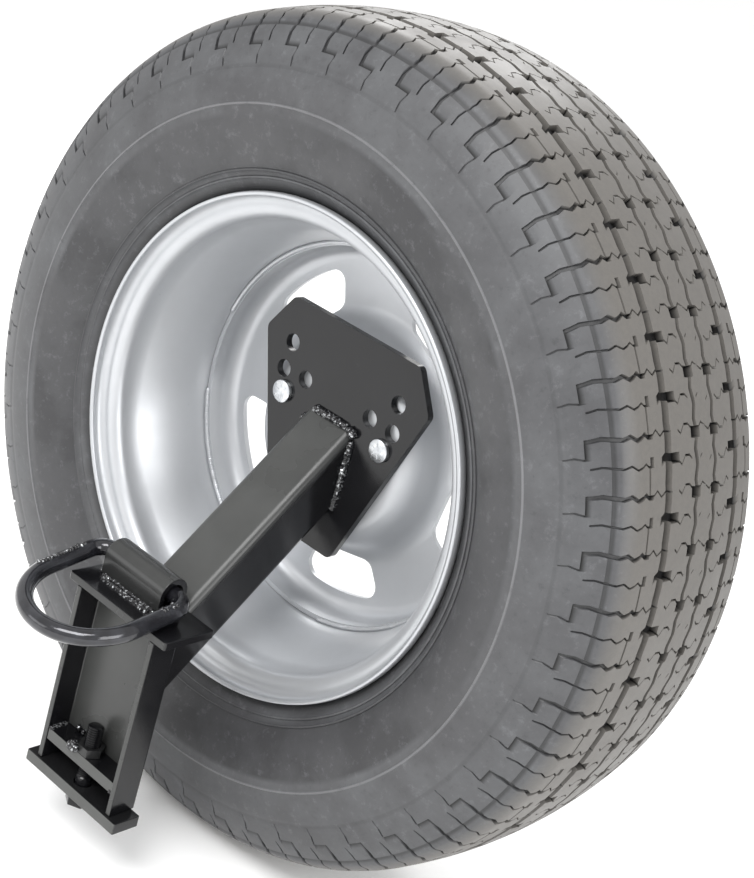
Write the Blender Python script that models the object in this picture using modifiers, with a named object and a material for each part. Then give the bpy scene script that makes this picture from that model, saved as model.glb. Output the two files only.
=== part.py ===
"""Spare tyre carrier that drops into a trailer's stake pocket, with the spare wheel it holds.

Frame: metres, +Z up. The origin is the middle of the cap plate's underside, above the hollow stub,
where the carrier sits on the pocket. The wheel's axis runs along +Y, and +X is to the right.
"""

import math

import bmesh
import bpy
from mathutils import Matrix, Vector

INCH = 0.0254

# Space left between pieces that touch on the real object
GAP = 0.0003

# Stub: a channel, open towards -Y, that fills the stake pocket
STUB_WIDTH = 3.5 * INCH
STUB_DEPTH = 1.0 * INCH
STUB_LENGTH = 6.0 * INCH
CHANNEL_WALL = 0.0048
CHANNEL_CORNER = 0.0022

# Cap plate on the stub, wider than the pocket's mouth
CAP_WIDTH = 4.375 * INCH
CAP_DEPTH = 0.0490
CAP_THICKNESS = 0.25 * INCH
CAP_CORNER = 0.0020

# Shelf with its welded nut, low in the stub
SHELF_THICKNESS = 0.375 * INCH
SHELF_ABOVE_END = 0.0176
SHELF_SETBACK = 0.0008
NUT_HEIGHT = 0.0070
# Space from the nut's flats to the web and to the channel's open face
NUT_SIDE_SPACE = 0.0008

# Clamp bar and the bolt that draws it up against the stub's end
BAR_WIDTH = 4.25 * INCH
BAR_DEPTH = 1.0 * INCH
BAR_THICKNESS = 0.375 * INCH
BAR_CORNER = 0.0012
BOLT_RADIUS = 0.25 * INCH
BOLT_ABOVE_SHELF = 0.0249
BOLT_CHAMFER = 0.0012
BOLT_HEAD_HEIGHT = 0.0081
BOLT_HEAD_ACROSS_FLATS = 0.75 * INCH
HOLE_CLEARANCE = 0.0008

# Arm: square tube that climbs from the stub to the mounting plate
ARM_SIZE = 2.0 * INCH
ARM_WALL = 0.0048
ARM_CORNER = 0.0075
ARM_ANGLE = math.radians(45.0)
ARM_REACH = 0.1571

# Mounting plate: a hexagon, narrow at its foot, with holes for several wheel patterns
PLATE_THICKNESS = 0.25 * INCH
PLATE_HALF_WIDTH = 3.5 * INCH
PLATE_TOP_HALF_WIDTH = 0.0680
PLATE_FOOT_HALF_WIDTH = 0.0360
PLATE_TOP_ABOVE_WHEEL = 0.0940
PLATE_SHOULDER_ABOVE_WHEEL = 0.0610
PLATE_FOOT_BELOW_WHEEL = 0.0880
PLATE_CORNER = 0.0070
ARM_TOP_ABOVE_WHEEL = 0.0199
LUG_HOLE_RADIUS = 0.0072
# Each open hole: bolt circle diameter and its angle above the horizontal
LUG_HOLES = (
    (4.0 * INCH, math.radians(45.0)),
    (5.5 * INCH, math.radians(30.0)),
    (6.5 * INCH, math.radians(45.0)),
)

# Studs: two of the five on the spare wheel's bolt circle
BOLT_CIRCLE = 4.5 * INCH
STUD_ANGLE = math.radians(18.0)
STUD_RADIUS = 0.25 * INCH
STUD_HEAD_RADIUS = 0.0094
STUD_HEAD_HEIGHT = 0.0034
STUD_LENGTH = 0.0400
STUD_CHAMFER = 0.0012

# Ring and the clip that holds it on the cap plate
RING_WIRE_RADIUS = 0.0067
RING_HALF_WIDTH = 0.0490
RING_DEPTH = 0.0985
RING_CORNER = 0.0135
CLIP_LENGTH = 0.0660
CLIP_BORE_RADIUS = 0.0082
CLIP_WALL = 0.0050
CLIP_AXIS_ABOVE_CAP = 0.0143
CLIP_FROM_CAP_FRONT = 0.0341
CLIP_SIDE_OFFSET = -0.0120

# Rim: 14 inch wheel, 6 inches between the flanges
RIM_SEAT_RADIUS = 0.1772
RIM_WIDTH = 6.0 * INCH
RIM_WALL = 0.0030
FLANGE_RADIUS = 0.0095
FLANGE_HEIGHT = 0.0173
FLANGE_TIP_ANGLE = math.radians(118.0)
HEEL_RADIUS = 0.0065
SEAT_WIDTH = 0.0210
SEAT_FALL = 0.0013
WELL_DEPTH = 0.0182
WELL_IN = -0.0060
WELL_OUT = 0.0340
LEDGE_FALL = 0.0025

# Disc of the wheel, from the mounting pad to the skirt inside the well
WHEEL_OFFSET = 0.0076
DISC_WALL = 0.0040
DISC_BORE_RADIUS = 0.0420
PAD_RADIUS = 0.0700
DISC_RISE = 0.0368
SKIRT_EDGE = 0.0060
SKIRT_CORNER = 0.0120
# The slope from the pad up to the crest, which the hand holes' inner ends reach
PAD_BEND_WIDTH = 0.0100
PAD_BEND_HEIGHT = 0.0070
CREST_BEND_WIDTH = 0.0080
CREST_BEND_HEIGHT = 0.0060
CREST_EDGE = 0.0020
CREST_FALL = 0.0015
HAND_HOLE_IN_SHARE = 0.40392
HAND_HOLE_OUT_SHARE = 0.78947
HAND_HOLE_HALF_ANGLE = math.radians(18.0)
HAND_HOLE_INNER_HALF_ANGLE = math.radians(16.2)
HAND_HOLE_CORNER = 0.0110
HAND_HOLE_PHASE = math.radians(64.0)
WHEEL_BOLTS = 5
LUG_SEAT_REACH = 0.0040

# Lug nuts
LUG_NUT_ACROSS_FLATS = 0.0206
LUG_NUT_HEIGHT = 0.0165
LUG_NUT_CONE_HEIGHT = 0.0040
LUG_NUT_CONE_RADIUS = 0.0096
LUG_NUT_TIP_RADIUS = 0.0074
LUG_NUT_CROWN = 0.0035
LUG_NUT_CROWN_RADIUS = 0.0065
LUG_NUT_COLLAR = 0.0020

# Valve in the rim's outer side wall
VALVE_ANGLE = math.radians(96.0)
VALVE_RADIUS = 0.0055
VALVE_FLANGE_RADIUS = 0.0092
VALVE_LENGTH = 0.0330
# The rim's wall is curved, so the valve's flat lips stand off it by this much
VALVE_LIP_GAP = 0.0010
VALVE_LIP_HEIGHT = 0.0030
VALVE_TAIL = 0.0060
VALVE_NECK = 0.0120
VALVE_STEM_RADIUS = 0.0046
# Threaded metal barrel: its shank is moulded into the rubber, and the cap screws over its head
VALVE_BARREL_RADIUS = 0.0032
VALVE_SHANK_RADIUS = 0.0024
VALVE_SHANK_LENGTH = 0.0100
VALVE_CAP_RADIUS = 0.0050
VALVE_CAP_LENGTH = 0.0110
VALVE_CAP_CHAMFER = 0.0012
VALVE_CAP_TOP = 0.0025
VALVE_DRILL = 0.0200

# Tyre
TYRE_SECTION = 0.2080
TYRE_RADIUS = 0.3330
TREAD_HALF_WIDTH = 0.0666
TREAD_THICKNESS = 0.0125
SIDEWALL_THICKNESS = 0.0080
# The bead's toe, from the inner edge of the rim's seat
BEAD_TOE = 0.0020
BEAD_TOE_INSIDE = 0.0040
BEAD_HEIGHT = 0.0100

# Facets
WHEEL_STEPS = 48
ARC_STEP = math.radians(18.0)
WHEEL_ARC_STEP = math.radians(31.0)

# Places that follow from the sizes above
CAP_TOP = CAP_THICKNESS
CAP_FRONT = -STUB_DEPTH / 2
CAP_BACK = CAP_FRONT + CAP_DEPTH
STUB_BACK = STUB_DEPTH / 2
PLATE_FRONT = STUB_BACK + ARM_REACH
PLATE_BACK = PLATE_FRONT + PLATE_THICKNESS
ARM_TOP_AT_PLATE = CAP_TOP + (PLATE_FRONT - CAP_BACK) * math.tan(ARM_ANGLE)
WHEEL_Z = ARM_TOP_AT_PLATE - ARM_TOP_ABOVE_WHEEL
WHEEL_Y = PLATE_BACK + WHEEL_OFFSET
PAD_FACE = -WHEEL_OFFSET + GAP
SHELF_BOTTOM = -STUB_LENGTH + SHELF_ABOVE_END
SHELF_TOP = SHELF_BOTTOM + SHELF_THICKNESS
BAR_TOP = -STUB_LENGTH - GAP
BAR_BOTTOM = BAR_TOP - BAR_THICKNESS
# The bolt, its nut and the clamp bar are centred in the channel's hollow
BOLT_Y = -CHANNEL_WALL / 2
NUT_ACROSS_FLATS = STUB_DEPTH - CHANNEL_WALL - 2 * NUT_SIDE_SPACE
CLIP_Y = CAP_FRONT + CLIP_FROM_CAP_FRONT
CLIP_Z = CAP_TOP + CLIP_AXIS_ABOVE_CAP
WELL_RADIUS = RIM_SEAT_RADIUS - WELL_DEPTH
SKIRT_RADIUS = WELL_RADIUS - RIM_WALL - GAP
# The hand holes lie at two shares of the way from the pad's edge to the skirt's inside
CREST_WIDTH = SKIRT_RADIUS - DISC_WALL - PAD_RADIUS
HAND_HOLE_IN = PAD_RADIUS + HAND_HOLE_IN_SHARE * CREST_WIDTH
HAND_HOLE_OUT = PAD_RADIUS + HAND_HOLE_OUT_SHARE * CREST_WIDTH
STUD_PLACES = tuple((side * math.cos(STUD_ANGLE) * BOLT_CIRCLE / 2,
                     math.sin(STUD_ANGLE) * BOLT_CIRCLE / 2) for side in (-1, 1))

# Local +Z of a turned wheel piece points along +Y
WHEEL_TURN = Matrix.Rotation(-math.pi / 2, 4, "X")


def clear_scene():
    """Remove everything the file opened with."""
    for obj in list(bpy.data.objects):
        bpy.data.objects.remove(obj, do_unlink=True)


def new_collection(name):
    collection = bpy.data.collections.new(name)
    bpy.context.scene.collection.children.link(collection)
    return collection


def new_material(name, colour, metallic, roughness):
    material = bpy.data.materials.new(name)
    material.use_nodes = True
    shader = material.node_tree.nodes["Principled BSDF"]
    shader.inputs["Base Color"].default_value = (*colour, 1.0)
    shader.inputs["Metallic"].default_value = metallic
    shader.inputs["Roughness"].default_value = roughness
    return material


def arc(centre, radius, start, end, longest=ARC_STEP):
    """Points of a circular arc, both ends included, in equal steps no longer than the given one."""
    steps = max(2, math.ceil(abs(end - start) / longest))
    angles = [start + (end - start) * i / steps for i in range(steps + 1)]
    return [(centre[0] + radius * math.cos(a), centre[1] + radius * math.sin(a)) for a in angles]


def circle(centre, radius, steps=24):
    angles = [2 * math.pi * i / steps for i in range(steps)]
    return [(centre[0] + radius * math.cos(a), centre[1] + radius * math.sin(a)) for a in angles]


def rounded(corners):
    """Outline through (x, y, radius) corners, each turned with an arc of its radius."""
    points = []
    for i, (x, y, radius) in enumerate(corners):
        here = Vector((x, y))
        if radius == 0:
            points.append((x, y))
            continue
        before = (Vector(corners[i - 1][:2]) - here).normalized()
        after = (Vector(corners[(i + 1) % len(corners)][:2]) - here).normalized()
        half = before.angle(after) / 2
        centre = here + (before + after).normalized() * radius / math.sin(half)
        start = here + before * radius / math.tan(half) - centre
        sweep = math.pi - 2 * half
        turn = 1 if before.cross(after) < 0 else -1
        first = math.atan2(start.y, start.x)
        points += arc(centre, radius, first, first + turn * sweep)
    return points


def rectangle(x_low, x_high, y_low, y_high, radius=0.0):
    return rounded([(x_low, y_low, radius), (x_high, y_low, radius),
                    (x_high, y_high, radius), (x_low, y_high, radius)])


def finish(obj, collection, material=None, parent=None):
    """File the object, colour it, shade its round faces smooth and hang it on its parent."""
    for other in list(obj.users_collection):
        other.objects.unlink(obj)
    collection.objects.link(obj)
    if material:
        obj.data.materials.clear()
        obj.data.materials.append(material)
    if obj.type == "MESH":
        obj.data.shade_smooth()
        obj.data.set_sharp_from_angle(angle=math.radians(35.0))
    if parent:
        world = obj.matrix_world.copy()
        obj.parent = parent
        obj.matrix_parent_inverse = parent.matrix_world.inverted()
        obj.matrix_world = world
    return obj


def mesh_from_curve(curve_object):
    """Replace a curve object by a mesh object of the same name and place, its caps welded."""
    bpy.context.view_layer.update()
    graph = bpy.context.evaluated_depsgraph_get()
    mesh = bpy.data.meshes.new_from_object(curve_object.evaluated_get(graph))
    bm = bmesh.new()
    bm.from_mesh(mesh)
    bmesh.ops.remove_doubles(bm, verts=bm.verts, dist=1e-6)
    bmesh.ops.recalc_face_normals(bm, faces=bm.faces)
    bm.to_mesh(mesh)
    bm.free()
    name = curve_object.name
    world = curve_object.matrix_world.copy()
    bpy.data.objects.remove(curve_object, do_unlink=True)
    obj = bpy.data.objects.new(name, mesh)
    obj.matrix_world = world
    bpy.context.scene.collection.objects.link(obj)
    return obj


def flat_solid(name, outlines, thickness, place):
    """Solid of even thickness from a 2D outline and its holes. place carries its middle plane."""
    data = bpy.data.curves.new(name, "CURVE")
    data.dimensions = "2D"
    data.fill_mode = "BOTH"
    data.extrude = thickness / 2
    for points in outlines:
        spline = data.splines.new("POLY")
        spline.points.add(len(points) - 1)
        for point, (x, y) in zip(spline.points, points):
            point.co = (x, y, 0.0, 1.0)
        spline.use_cyclic_u = True
    obj = bpy.data.objects.new(name, data)
    bpy.context.scene.collection.objects.link(obj)
    obj.matrix_world = place
    return mesh_from_curve(obj)


def turned(name, profile, closed, steps, place, wall=0.0):
    """Turn a (radius, height) profile about local Z. A wall thickens an open one behind its face."""
    bm = bmesh.new()
    verts = [bm.verts.new((radius, 0.0, height)) for radius, height in profile]
    for first, second in zip(verts, verts[1:]):
        bm.edges.new((first, second))
    if closed:
        bm.edges.new((verts[-1], verts[0]))
    mesh = bpy.data.meshes.new(name)
    bm.to_mesh(mesh)
    bm.free()
    obj = bpy.data.objects.new(name, mesh)
    bpy.context.scene.collection.objects.link(obj)
    obj.matrix_world = place
    screw = obj.modifiers.new("turn", "SCREW")
    screw.axis = "Z"
    screw.angle = 2 * math.pi
    screw.steps = steps
    screw.render_steps = steps
    screw.use_merge_vertices = True
    screw.merge_threshold = 1e-5
    if wall:
        solidify = obj.modifiers.new("wall", "SOLIDIFY")
        solidify.thickness = wall
        solidify.offset = -1.0
        solidify.use_even_offset = True
    return obj


def prism(name, across_flats, height, place):
    """Hexagonal prism standing on local Z = 0."""
    bm = bmesh.new()
    radius = across_flats / math.sqrt(3)
    bmesh.ops.create_cone(bm, cap_ends=True, segments=6, radius1=radius, radius2=radius, depth=height,
                          matrix=Matrix.Translation((0, 0, height / 2)))
    mesh = bpy.data.meshes.new(name)
    bm.to_mesh(mesh)
    bm.free()
    obj = bpy.data.objects.new(name, mesh)
    bpy.context.scene.collection.objects.link(obj)
    obj.matrix_world = place
    return obj


def box(name, low, high):
    bm = bmesh.new()
    size = Vector(high) - Vector(low)
    middle = (Vector(high) + Vector(low)) / 2
    bmesh.ops.create_cube(bm, size=1.0, matrix=Matrix.Translation(middle) @ Matrix.Diagonal((*size, 1.0)))
    mesh = bpy.data.meshes.new(name)
    bm.to_mesh(mesh)
    bm.free()
    obj = bpy.data.objects.new(name, mesh)
    bpy.context.scene.collection.objects.link(obj)
    return obj


def apply_boolean(obj, other, operation, cutters):
    """Add an EXACT Boolean, and put its helper away with the cutters."""
    boolean = obj.modifiers.new(other.name, "BOOLEAN")
    boolean.object = other
    boolean.operation = operation
    boolean.solver = "EXACT"
    finish(other, cutters)
    other.hide_render = True
    other.display_type = "WIRE"


def empty(name, location, collection):
    obj = bpy.data.objects.new(name, None)
    obj.location = location
    collection.objects.link(obj)
    bpy.context.view_layer.update()
    return obj


def facing(normal, x, y, z):
    """Matrix that turns an outline's plane to face along the named axis and moves it to x, y, z."""
    turns = {
        "Z": Matrix.Identity(4),
        # outline x -> world Y, outline y -> world Z
        "X": Matrix(((0, 0, 1, 0), (1, 0, 0, 0), (0, 1, 0, 0), (0, 0, 0, 1))),
        # outline x -> world X, outline y -> world Z
        "Y": Matrix(((1, 0, 0, 0), (0, 0, -1, 0), (0, 1, 0, 0), (0, 0, 0, 1))),
    }
    return Matrix.Translation((x, y, z)) @ turns[normal]


def make_stub(parts, paint):
    half = STUB_WIDTH / 2
    inner = half - CHANNEL_WALL
    back = STUB_DEPTH / 2
    inner_corner = 0.5 * CHANNEL_CORNER
    outline = rounded([
        (-half, -back, 0), (-inner, -back, 0),
        (-inner, back - CHANNEL_WALL, inner_corner), (inner, back - CHANNEL_WALL, inner_corner),
        (inner, -back, 0), (half, -back, 0),
        (half, back, CHANNEL_CORNER), (-half, back, CHANNEL_CORNER),
    ])
    length = STUB_LENGTH - GAP
    stub = flat_solid("stub_channel", [outline], length, facing("Z", 0, 0, -GAP - length / 2))
    finish(stub, parts, paint)


def make_cap(parts, paint):
    outline = rectangle(-CAP_WIDTH / 2, CAP_WIDTH / 2, CAP_FRONT, CAP_BACK, CAP_CORNER)
    cap = flat_solid("cap_plate", [outline], CAP_THICKNESS, facing("Z", 0, 0, CAP_THICKNESS / 2))
    finish(cap, parts, paint)


def make_shelf(parts, paint):
    half = STUB_WIDTH / 2 - CHANNEL_WALL - GAP
    back = STUB_DEPTH / 2 - CHANNEL_WALL - GAP
    front = -STUB_DEPTH / 2 + SHELF_SETBACK
    outline = rounded([(-half, front, 0), (half, front, 0),
                       (half, back, CHANNEL_CORNER), (-half, back, CHANNEL_CORNER)])
    hole = circle((0, BOLT_Y), BOLT_RADIUS + HOLE_CLEARANCE)
    middle = (SHELF_BOTTOM + SHELF_TOP) / 2
    shelf = flat_solid("shelf_plate", [outline, hole], SHELF_THICKNESS, facing("Z", 0, 0, middle))
    finish(shelf, parts, paint)

    corner_radius = NUT_ACROSS_FLATS / math.sqrt(3)
    # Two of its flats face +Y and -Y
    hexagon = circle((0, 0), corner_radius, 6)
    thread = circle((0, 0), BOLT_RADIUS + GAP)
    middle = SHELF_TOP + GAP + NUT_HEIGHT / 2
    nut = flat_solid("shelf_nut", [hexagon, thread], NUT_HEIGHT, facing("Z", 0, BOLT_Y, middle))
    finish(nut, parts, paint)


def make_clamp(parts, cutters, paint):
    holder = empty("clamp_axis", (0, BOLT_Y, BAR_TOP), parts)
    outline = rectangle(-BAR_WIDTH / 2, BAR_WIDTH / 2, -BAR_DEPTH / 2, BAR_DEPTH / 2, BAR_CORNER)
    hole = circle((0, 0), BOLT_RADIUS + HOLE_CLEARANCE)
    middle = (BAR_TOP + BAR_BOTTOM) / 2
    bar = flat_solid("clamp_bar", [outline, hole], BAR_THICKNESS, facing("Z", 0, BOLT_Y, middle))
    finish(bar, parts, paint, holder)

    head_top = BAR_BOTTOM - GAP
    tip = SHELF_TOP + BOLT_ABOVE_SHELF
    profile = [(0.0, tip), (BOLT_RADIUS - BOLT_CHAMFER, tip), (BOLT_RADIUS, tip - BOLT_CHAMFER),
               (BOLT_RADIUS, head_top - BOLT_HEAD_HEIGHT / 2), (0.0, head_top - BOLT_HEAD_HEIGHT / 2)]
    profile = [(radius, height - head_top) for radius, height in profile]
    bolt = turned("clamp_bolt", profile, False, 20, facing("Z", 0, BOLT_Y, head_top))
    head = prism("bolt_head", BOLT_HEAD_ACROSS_FLATS, BOLT_HEAD_HEIGHT,
                 facing("Z", 0, BOLT_Y, head_top - BOLT_HEAD_HEIGHT))
    apply_boolean(bolt, head, "UNION", cutters)
    finish(bolt, parts, paint, holder)


def square(size, radius):
    return rectangle(-size / 2, size / 2, -size / 2, size / 2, radius)


def make_arm(parts, cutters, paint):
    along = Vector((0, math.cos(ARM_ANGLE), math.sin(ARM_ANGLE)))
    upward = Vector((0, -math.sin(ARM_ANGLE), math.cos(ARM_ANGLE)))
    sideways = Vector((1, 0, 0))
    top_start = Vector((0, CAP_BACK, CAP_TOP))
    top_end = Vector((0, PLATE_FRONT, ARM_TOP_AT_PLATE))
    middle = (top_start + top_end) / 2 - upward * ARM_SIZE / 2
    length = (top_end - top_start).length + 4 * ARM_SIZE
    place = Matrix.Translation(middle) @ Matrix((sideways, upward, -along)).transposed().to_4x4()
    outer = square(ARM_SIZE, ARM_CORNER)
    inner = square(ARM_SIZE - 2 * ARM_WALL, ARM_CORNER - ARM_WALL)
    tube = flat_solid("arm_tube", [outer, inner], length, place)

    far = 1.0
    apply_boolean(tube, box("plate_end_cut", (-far, PLATE_FRONT - GAP, -far), (far, far, far)),
                  "DIFFERENCE", cutters)
    apply_boolean(tube, box("stub_end_cut", (-far, -far, -far), (far, STUB_BACK + GAP, far)),
                  "DIFFERENCE", cutters)
    apply_boolean(tube, box("cap_end_cut", (-far, -far, -GAP), (far, CAP_BACK + GAP, far)),
                  "DIFFERENCE", cutters)
    finish(tube, parts, paint)


def make_plate(parts, paint):
    """Drawn in X and Z about the wheel's axis."""
    outline = rounded([
        (-PLATE_FOOT_HALF_WIDTH, -PLATE_FOOT_BELOW_WHEEL, PLATE_CORNER),
        (PLATE_FOOT_HALF_WIDTH, -PLATE_FOOT_BELOW_WHEEL, PLATE_CORNER),
        (PLATE_HALF_WIDTH, PLATE_SHOULDER_ABOVE_WHEEL, PLATE_CORNER),
        (PLATE_TOP_HALF_WIDTH, PLATE_TOP_ABOVE_WHEEL, PLATE_CORNER),
        (-PLATE_TOP_HALF_WIDTH, PLATE_TOP_ABOVE_WHEEL, PLATE_CORNER),
        (-PLATE_HALF_WIDTH, PLATE_SHOULDER_ABOVE_WHEEL, PLATE_CORNER),
    ])
    holes = []
    for diameter, angle in LUG_HOLES:
        for side in (-1, 1):
            centre = (side * math.cos(angle) * diameter / 2, math.sin(angle) * diameter / 2)
            holes.append(circle(centre, LUG_HOLE_RADIUS, 20))
    for centre in STUD_PLACES:
        holes.append(circle(centre, STUD_RADIUS + GAP, 20))
    middle = (PLATE_FRONT + PLATE_BACK) / 2
    place = facing("Y", 0, middle, WHEEL_Z)
    plate = flat_solid("mounting_plate", [outline, *holes], PLATE_THICKNESS, place)
    finish(plate, parts, paint)


def make_studs(parts, zinc):
    """Each stud's head lies on the plate's -Y face, and its shank runs towards +Y."""
    face = -GAP
    head = face - STUD_HEAD_HEIGHT
    profile = [
        (0.0, STUD_LENGTH), (STUD_RADIUS - STUD_CHAMFER, STUD_LENGTH),
        (STUD_RADIUS, STUD_LENGTH - STUD_CHAMFER),
        (STUD_RADIUS, face), (STUD_HEAD_RADIUS, face), (STUD_HEAD_RADIUS, head + STUD_CHAMFER / 2),
        (STUD_HEAD_RADIUS - STUD_CHAMFER / 2, head), (0.0, head),
    ]
    for name, (x, z) in zip(("wheel_stud_left", "wheel_stud_right"), STUD_PLACES):
        place = Matrix.Translation((x, PLATE_FRONT, WHEEL_Z + z)) @ WHEEL_TURN
        finish(turned(name, profile, False, 20, place), parts, zinc)


def make_clip(parts, paint):
    """Strap bent over the ring's straight side, its two legs welded to the cap plate."""
    outside = CLIP_BORE_RADIUS + CLIP_WALL
    foot = -CLIP_AXIS_ABOVE_CAP + GAP
    outline = arc((0, 0), outside, 0, math.pi) + [(-outside, foot), (-CLIP_BORE_RADIUS, foot)]
    outline += arc((0, 0), CLIP_BORE_RADIUS, math.pi, 0) + [(CLIP_BORE_RADIUS, foot), (outside, foot)]
    place = facing("X", CLIP_SIDE_OFFSET, CLIP_Y, CLIP_Z)
    finish(flat_solid("ring_clip", [outline], CLIP_LENGTH, place), parts, paint)


def ring_droop():
    """Angle below the level at which the ring's wire rests on the cap plate's front edge."""
    edge = Vector((CLIP_FROM_CAP_FRONT, CLIP_AXIS_ABOVE_CAP))
    return math.atan2(edge.y, edge.x) - math.asin((RING_WIRE_RADIUS + 2 * GAP) / edge.length)


def make_ring(parts, paint):
    """Closed loop: a straight side through the clip, two legs and a round bow."""
    bow = RING_HALF_WIDTH
    leg = RING_DEPTH - bow
    corner = bow - RING_CORNER
    points = arc((0, leg), bow, math.pi, 0)
    points += arc((corner, RING_CORNER), RING_CORNER, 0, -math.pi / 2)
    points += arc((-corner, RING_CORNER), RING_CORNER, -math.pi / 2, -math.pi)
    droop = ring_droop()
    away = Vector((0, -math.cos(droop), -math.sin(droop)))
    data = bpy.data.curves.new("d_ring", "CURVE")
    data.dimensions = "3D"
    data.bevel_depth = RING_WIRE_RADIUS
    data.bevel_resolution = 4
    spline = data.splines.new("POLY")
    spline.points.add(len(points) - 1)
    for point, (x, out) in zip(spline.points, points):
        point.co = (*(Vector((x, 0, 0)) + away * out), 1.0)
    spline.use_cyclic_u = True
    obj = bpy.data.objects.new("d_ring", data)
    bpy.context.scene.collection.objects.link(obj)
    obj.matrix_world = Matrix.Translation((CLIP_SIDE_OFFSET, CLIP_Y, CLIP_Z))
    finish(mesh_from_curve(obj), parts, paint)


def flange_half():
    """Tyre side of one flange and its bead seat, as (radius, distance from the middle), tip first."""
    inside = RIM_WIDTH / 2
    curl = (inside + FLANGE_RADIUS, RIM_SEAT_RADIUS + FLANGE_HEIGHT - FLANGE_RADIUS)
    heel = (inside - HEEL_RADIUS, RIM_SEAT_RADIUS + HEEL_RADIUS)
    points = arc(curl, FLANGE_RADIUS, math.pi - FLANGE_TIP_ANGLE, math.pi, WHEEL_ARC_STEP)
    points += arc(heel, HEEL_RADIUS, 0, -math.pi / 2, WHEEL_ARC_STEP)
    points.append((inside - SEAT_WIDTH, RIM_SEAT_RADIUS - SEAT_FALL))
    points.append((inside - SEAT_WIDTH - LEDGE_FALL, RIM_SEAT_RADIUS - SEAT_FALL - LEDGE_FALL))
    return [(radius, height) for height, radius in points]


def make_rim(parts, cutters, paint, holder, place):
    outer = flange_half()
    profile = outer + [(WELL_RADIUS, WELL_OUT), (WELL_RADIUS, WELL_IN)]
    profile += [(radius, -height) for radius, height in reversed(outer)]
    rim = turned("rim_barrel", profile, False, WHEEL_STEPS, place, RIM_WALL)
    bore = VALVE_RADIUS + GAP
    drill = [(0, VALVE_DRILL), (bore, VALVE_DRILL), (bore, -VALVE_DRILL), (0, -VALVE_DRILL)]
    hole = turned("valve_hole", drill, False, 16, valve_place(place))
    apply_boolean(rim, hole, "DIFFERENCE", cutters)
    finish(rim, parts, paint, holder)


def valve_place(place):
    """Middle of the outer side wall's thickness, local Z square to the wall and towards the open side."""
    inside = RIM_WIDTH / 2
    ledge = Vector((inside - SEAT_WIDTH - LEDGE_FALL, RIM_SEAT_RADIUS - SEAT_FALL - LEDGE_FALL))
    well = Vector((WELL_OUT, WELL_RADIUS))
    slope = (ledge - well).normalized()
    across = Vector((slope.y, -slope.x))
    middle = (ledge + well) / 2 + across * RIM_WALL / 2
    tilt = math.atan2(-across.y, across.x)
    spin = Matrix.Rotation(-VALVE_ANGLE, 4, "Z")
    lean = Matrix.Translation((middle.y, 0, middle.x)) @ Matrix.Rotation(-tilt, 4, "Y")
    return place @ spin @ lean


def make_valve(parts, rubber, brass, plastic, holder, place):
    """Rubber stem snapped into the rim, a metal barrel in its end and a cap over the barrel's head."""
    wall = RIM_WALL / 2 + VALVE_LIP_GAP
    top = wall + VALVE_LENGTH
    stem_top = top - VALVE_CAP_LENGTH
    pocket = stem_top - VALVE_SHANK_LENGTH - GAP
    spot = valve_place(place)
    profile = [
        (0.0, pocket), (VALVE_SHANK_RADIUS + GAP, pocket), (VALVE_SHANK_RADIUS + GAP, stem_top),
        (VALVE_STEM_RADIUS, stem_top), (VALVE_RADIUS, stem_top - VALVE_NECK),
        (VALVE_FLANGE_RADIUS, wall + VALVE_LIP_HEIGHT), (VALVE_FLANGE_RADIUS, wall), (VALVE_RADIUS, wall),
        (VALVE_RADIUS, -wall), (VALVE_FLANGE_RADIUS, -wall), (VALVE_RADIUS, -wall - VALVE_TAIL),
        (0.0, -wall - VALVE_TAIL),
    ]
    finish(turned("valve_stem", profile, False, 16, spot), parts, rubber, holder)

    head = top - VALVE_CAP_TOP - GAP
    profile = [
        (0.0, head), (VALVE_BARREL_RADIUS, head), (VALVE_BARREL_RADIUS, stem_top + GAP),
        (VALVE_SHANK_RADIUS, stem_top + GAP), (VALVE_SHANK_RADIUS, pocket + GAP), (0.0, pocket + GAP),
    ]
    finish(turned("valve_barrel", profile, False, 16, spot), parts, brass, holder)

    base = stem_top + GAP
    bore = VALVE_BARREL_RADIUS + GAP
    profile = [
        (0.0, top), (VALVE_CAP_RADIUS - VALVE_CAP_CHAMFER, top), (VALVE_CAP_RADIUS, top - VALVE_CAP_CHAMFER),
        (VALVE_CAP_RADIUS, base), (bore, base), (bore, top - VALVE_CAP_TOP), (0.0, top - VALVE_CAP_TOP),
    ]
    cap_holder = empty("valve_cap_axis", spot.translation, parts)
    finish(turned("valve_cap", profile, False, 16, spot), parts, plastic, cap_holder)


def disc_profile():
    """Side of the disc that faces the carrier, from the skirt's edge in to the bore."""
    top = PAD_FACE + DISC_RISE
    inner = SKIRT_RADIUS - DISC_WALL
    corner = (inner - SKIRT_CORNER, top - SKIRT_CORNER)
    profile = [(inner, SKIRT_EDGE)]
    profile += arc(corner, SKIRT_CORNER, 0, math.pi / 2, WHEEL_ARC_STEP)
    profile += [(HAND_HOLE_OUT - CREST_EDGE, top), (HAND_HOLE_IN + CREST_EDGE, top - CREST_FALL)]
    profile.append((HAND_HOLE_IN - CREST_BEND_WIDTH, top - CREST_BEND_HEIGHT))
    profile += [(PAD_RADIUS + PAD_BEND_WIDTH, PAD_FACE + PAD_BEND_HEIGHT), (PAD_RADIUS, PAD_FACE)]
    profile.append((DISC_BORE_RADIUS, PAD_FACE))
    return profile


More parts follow.
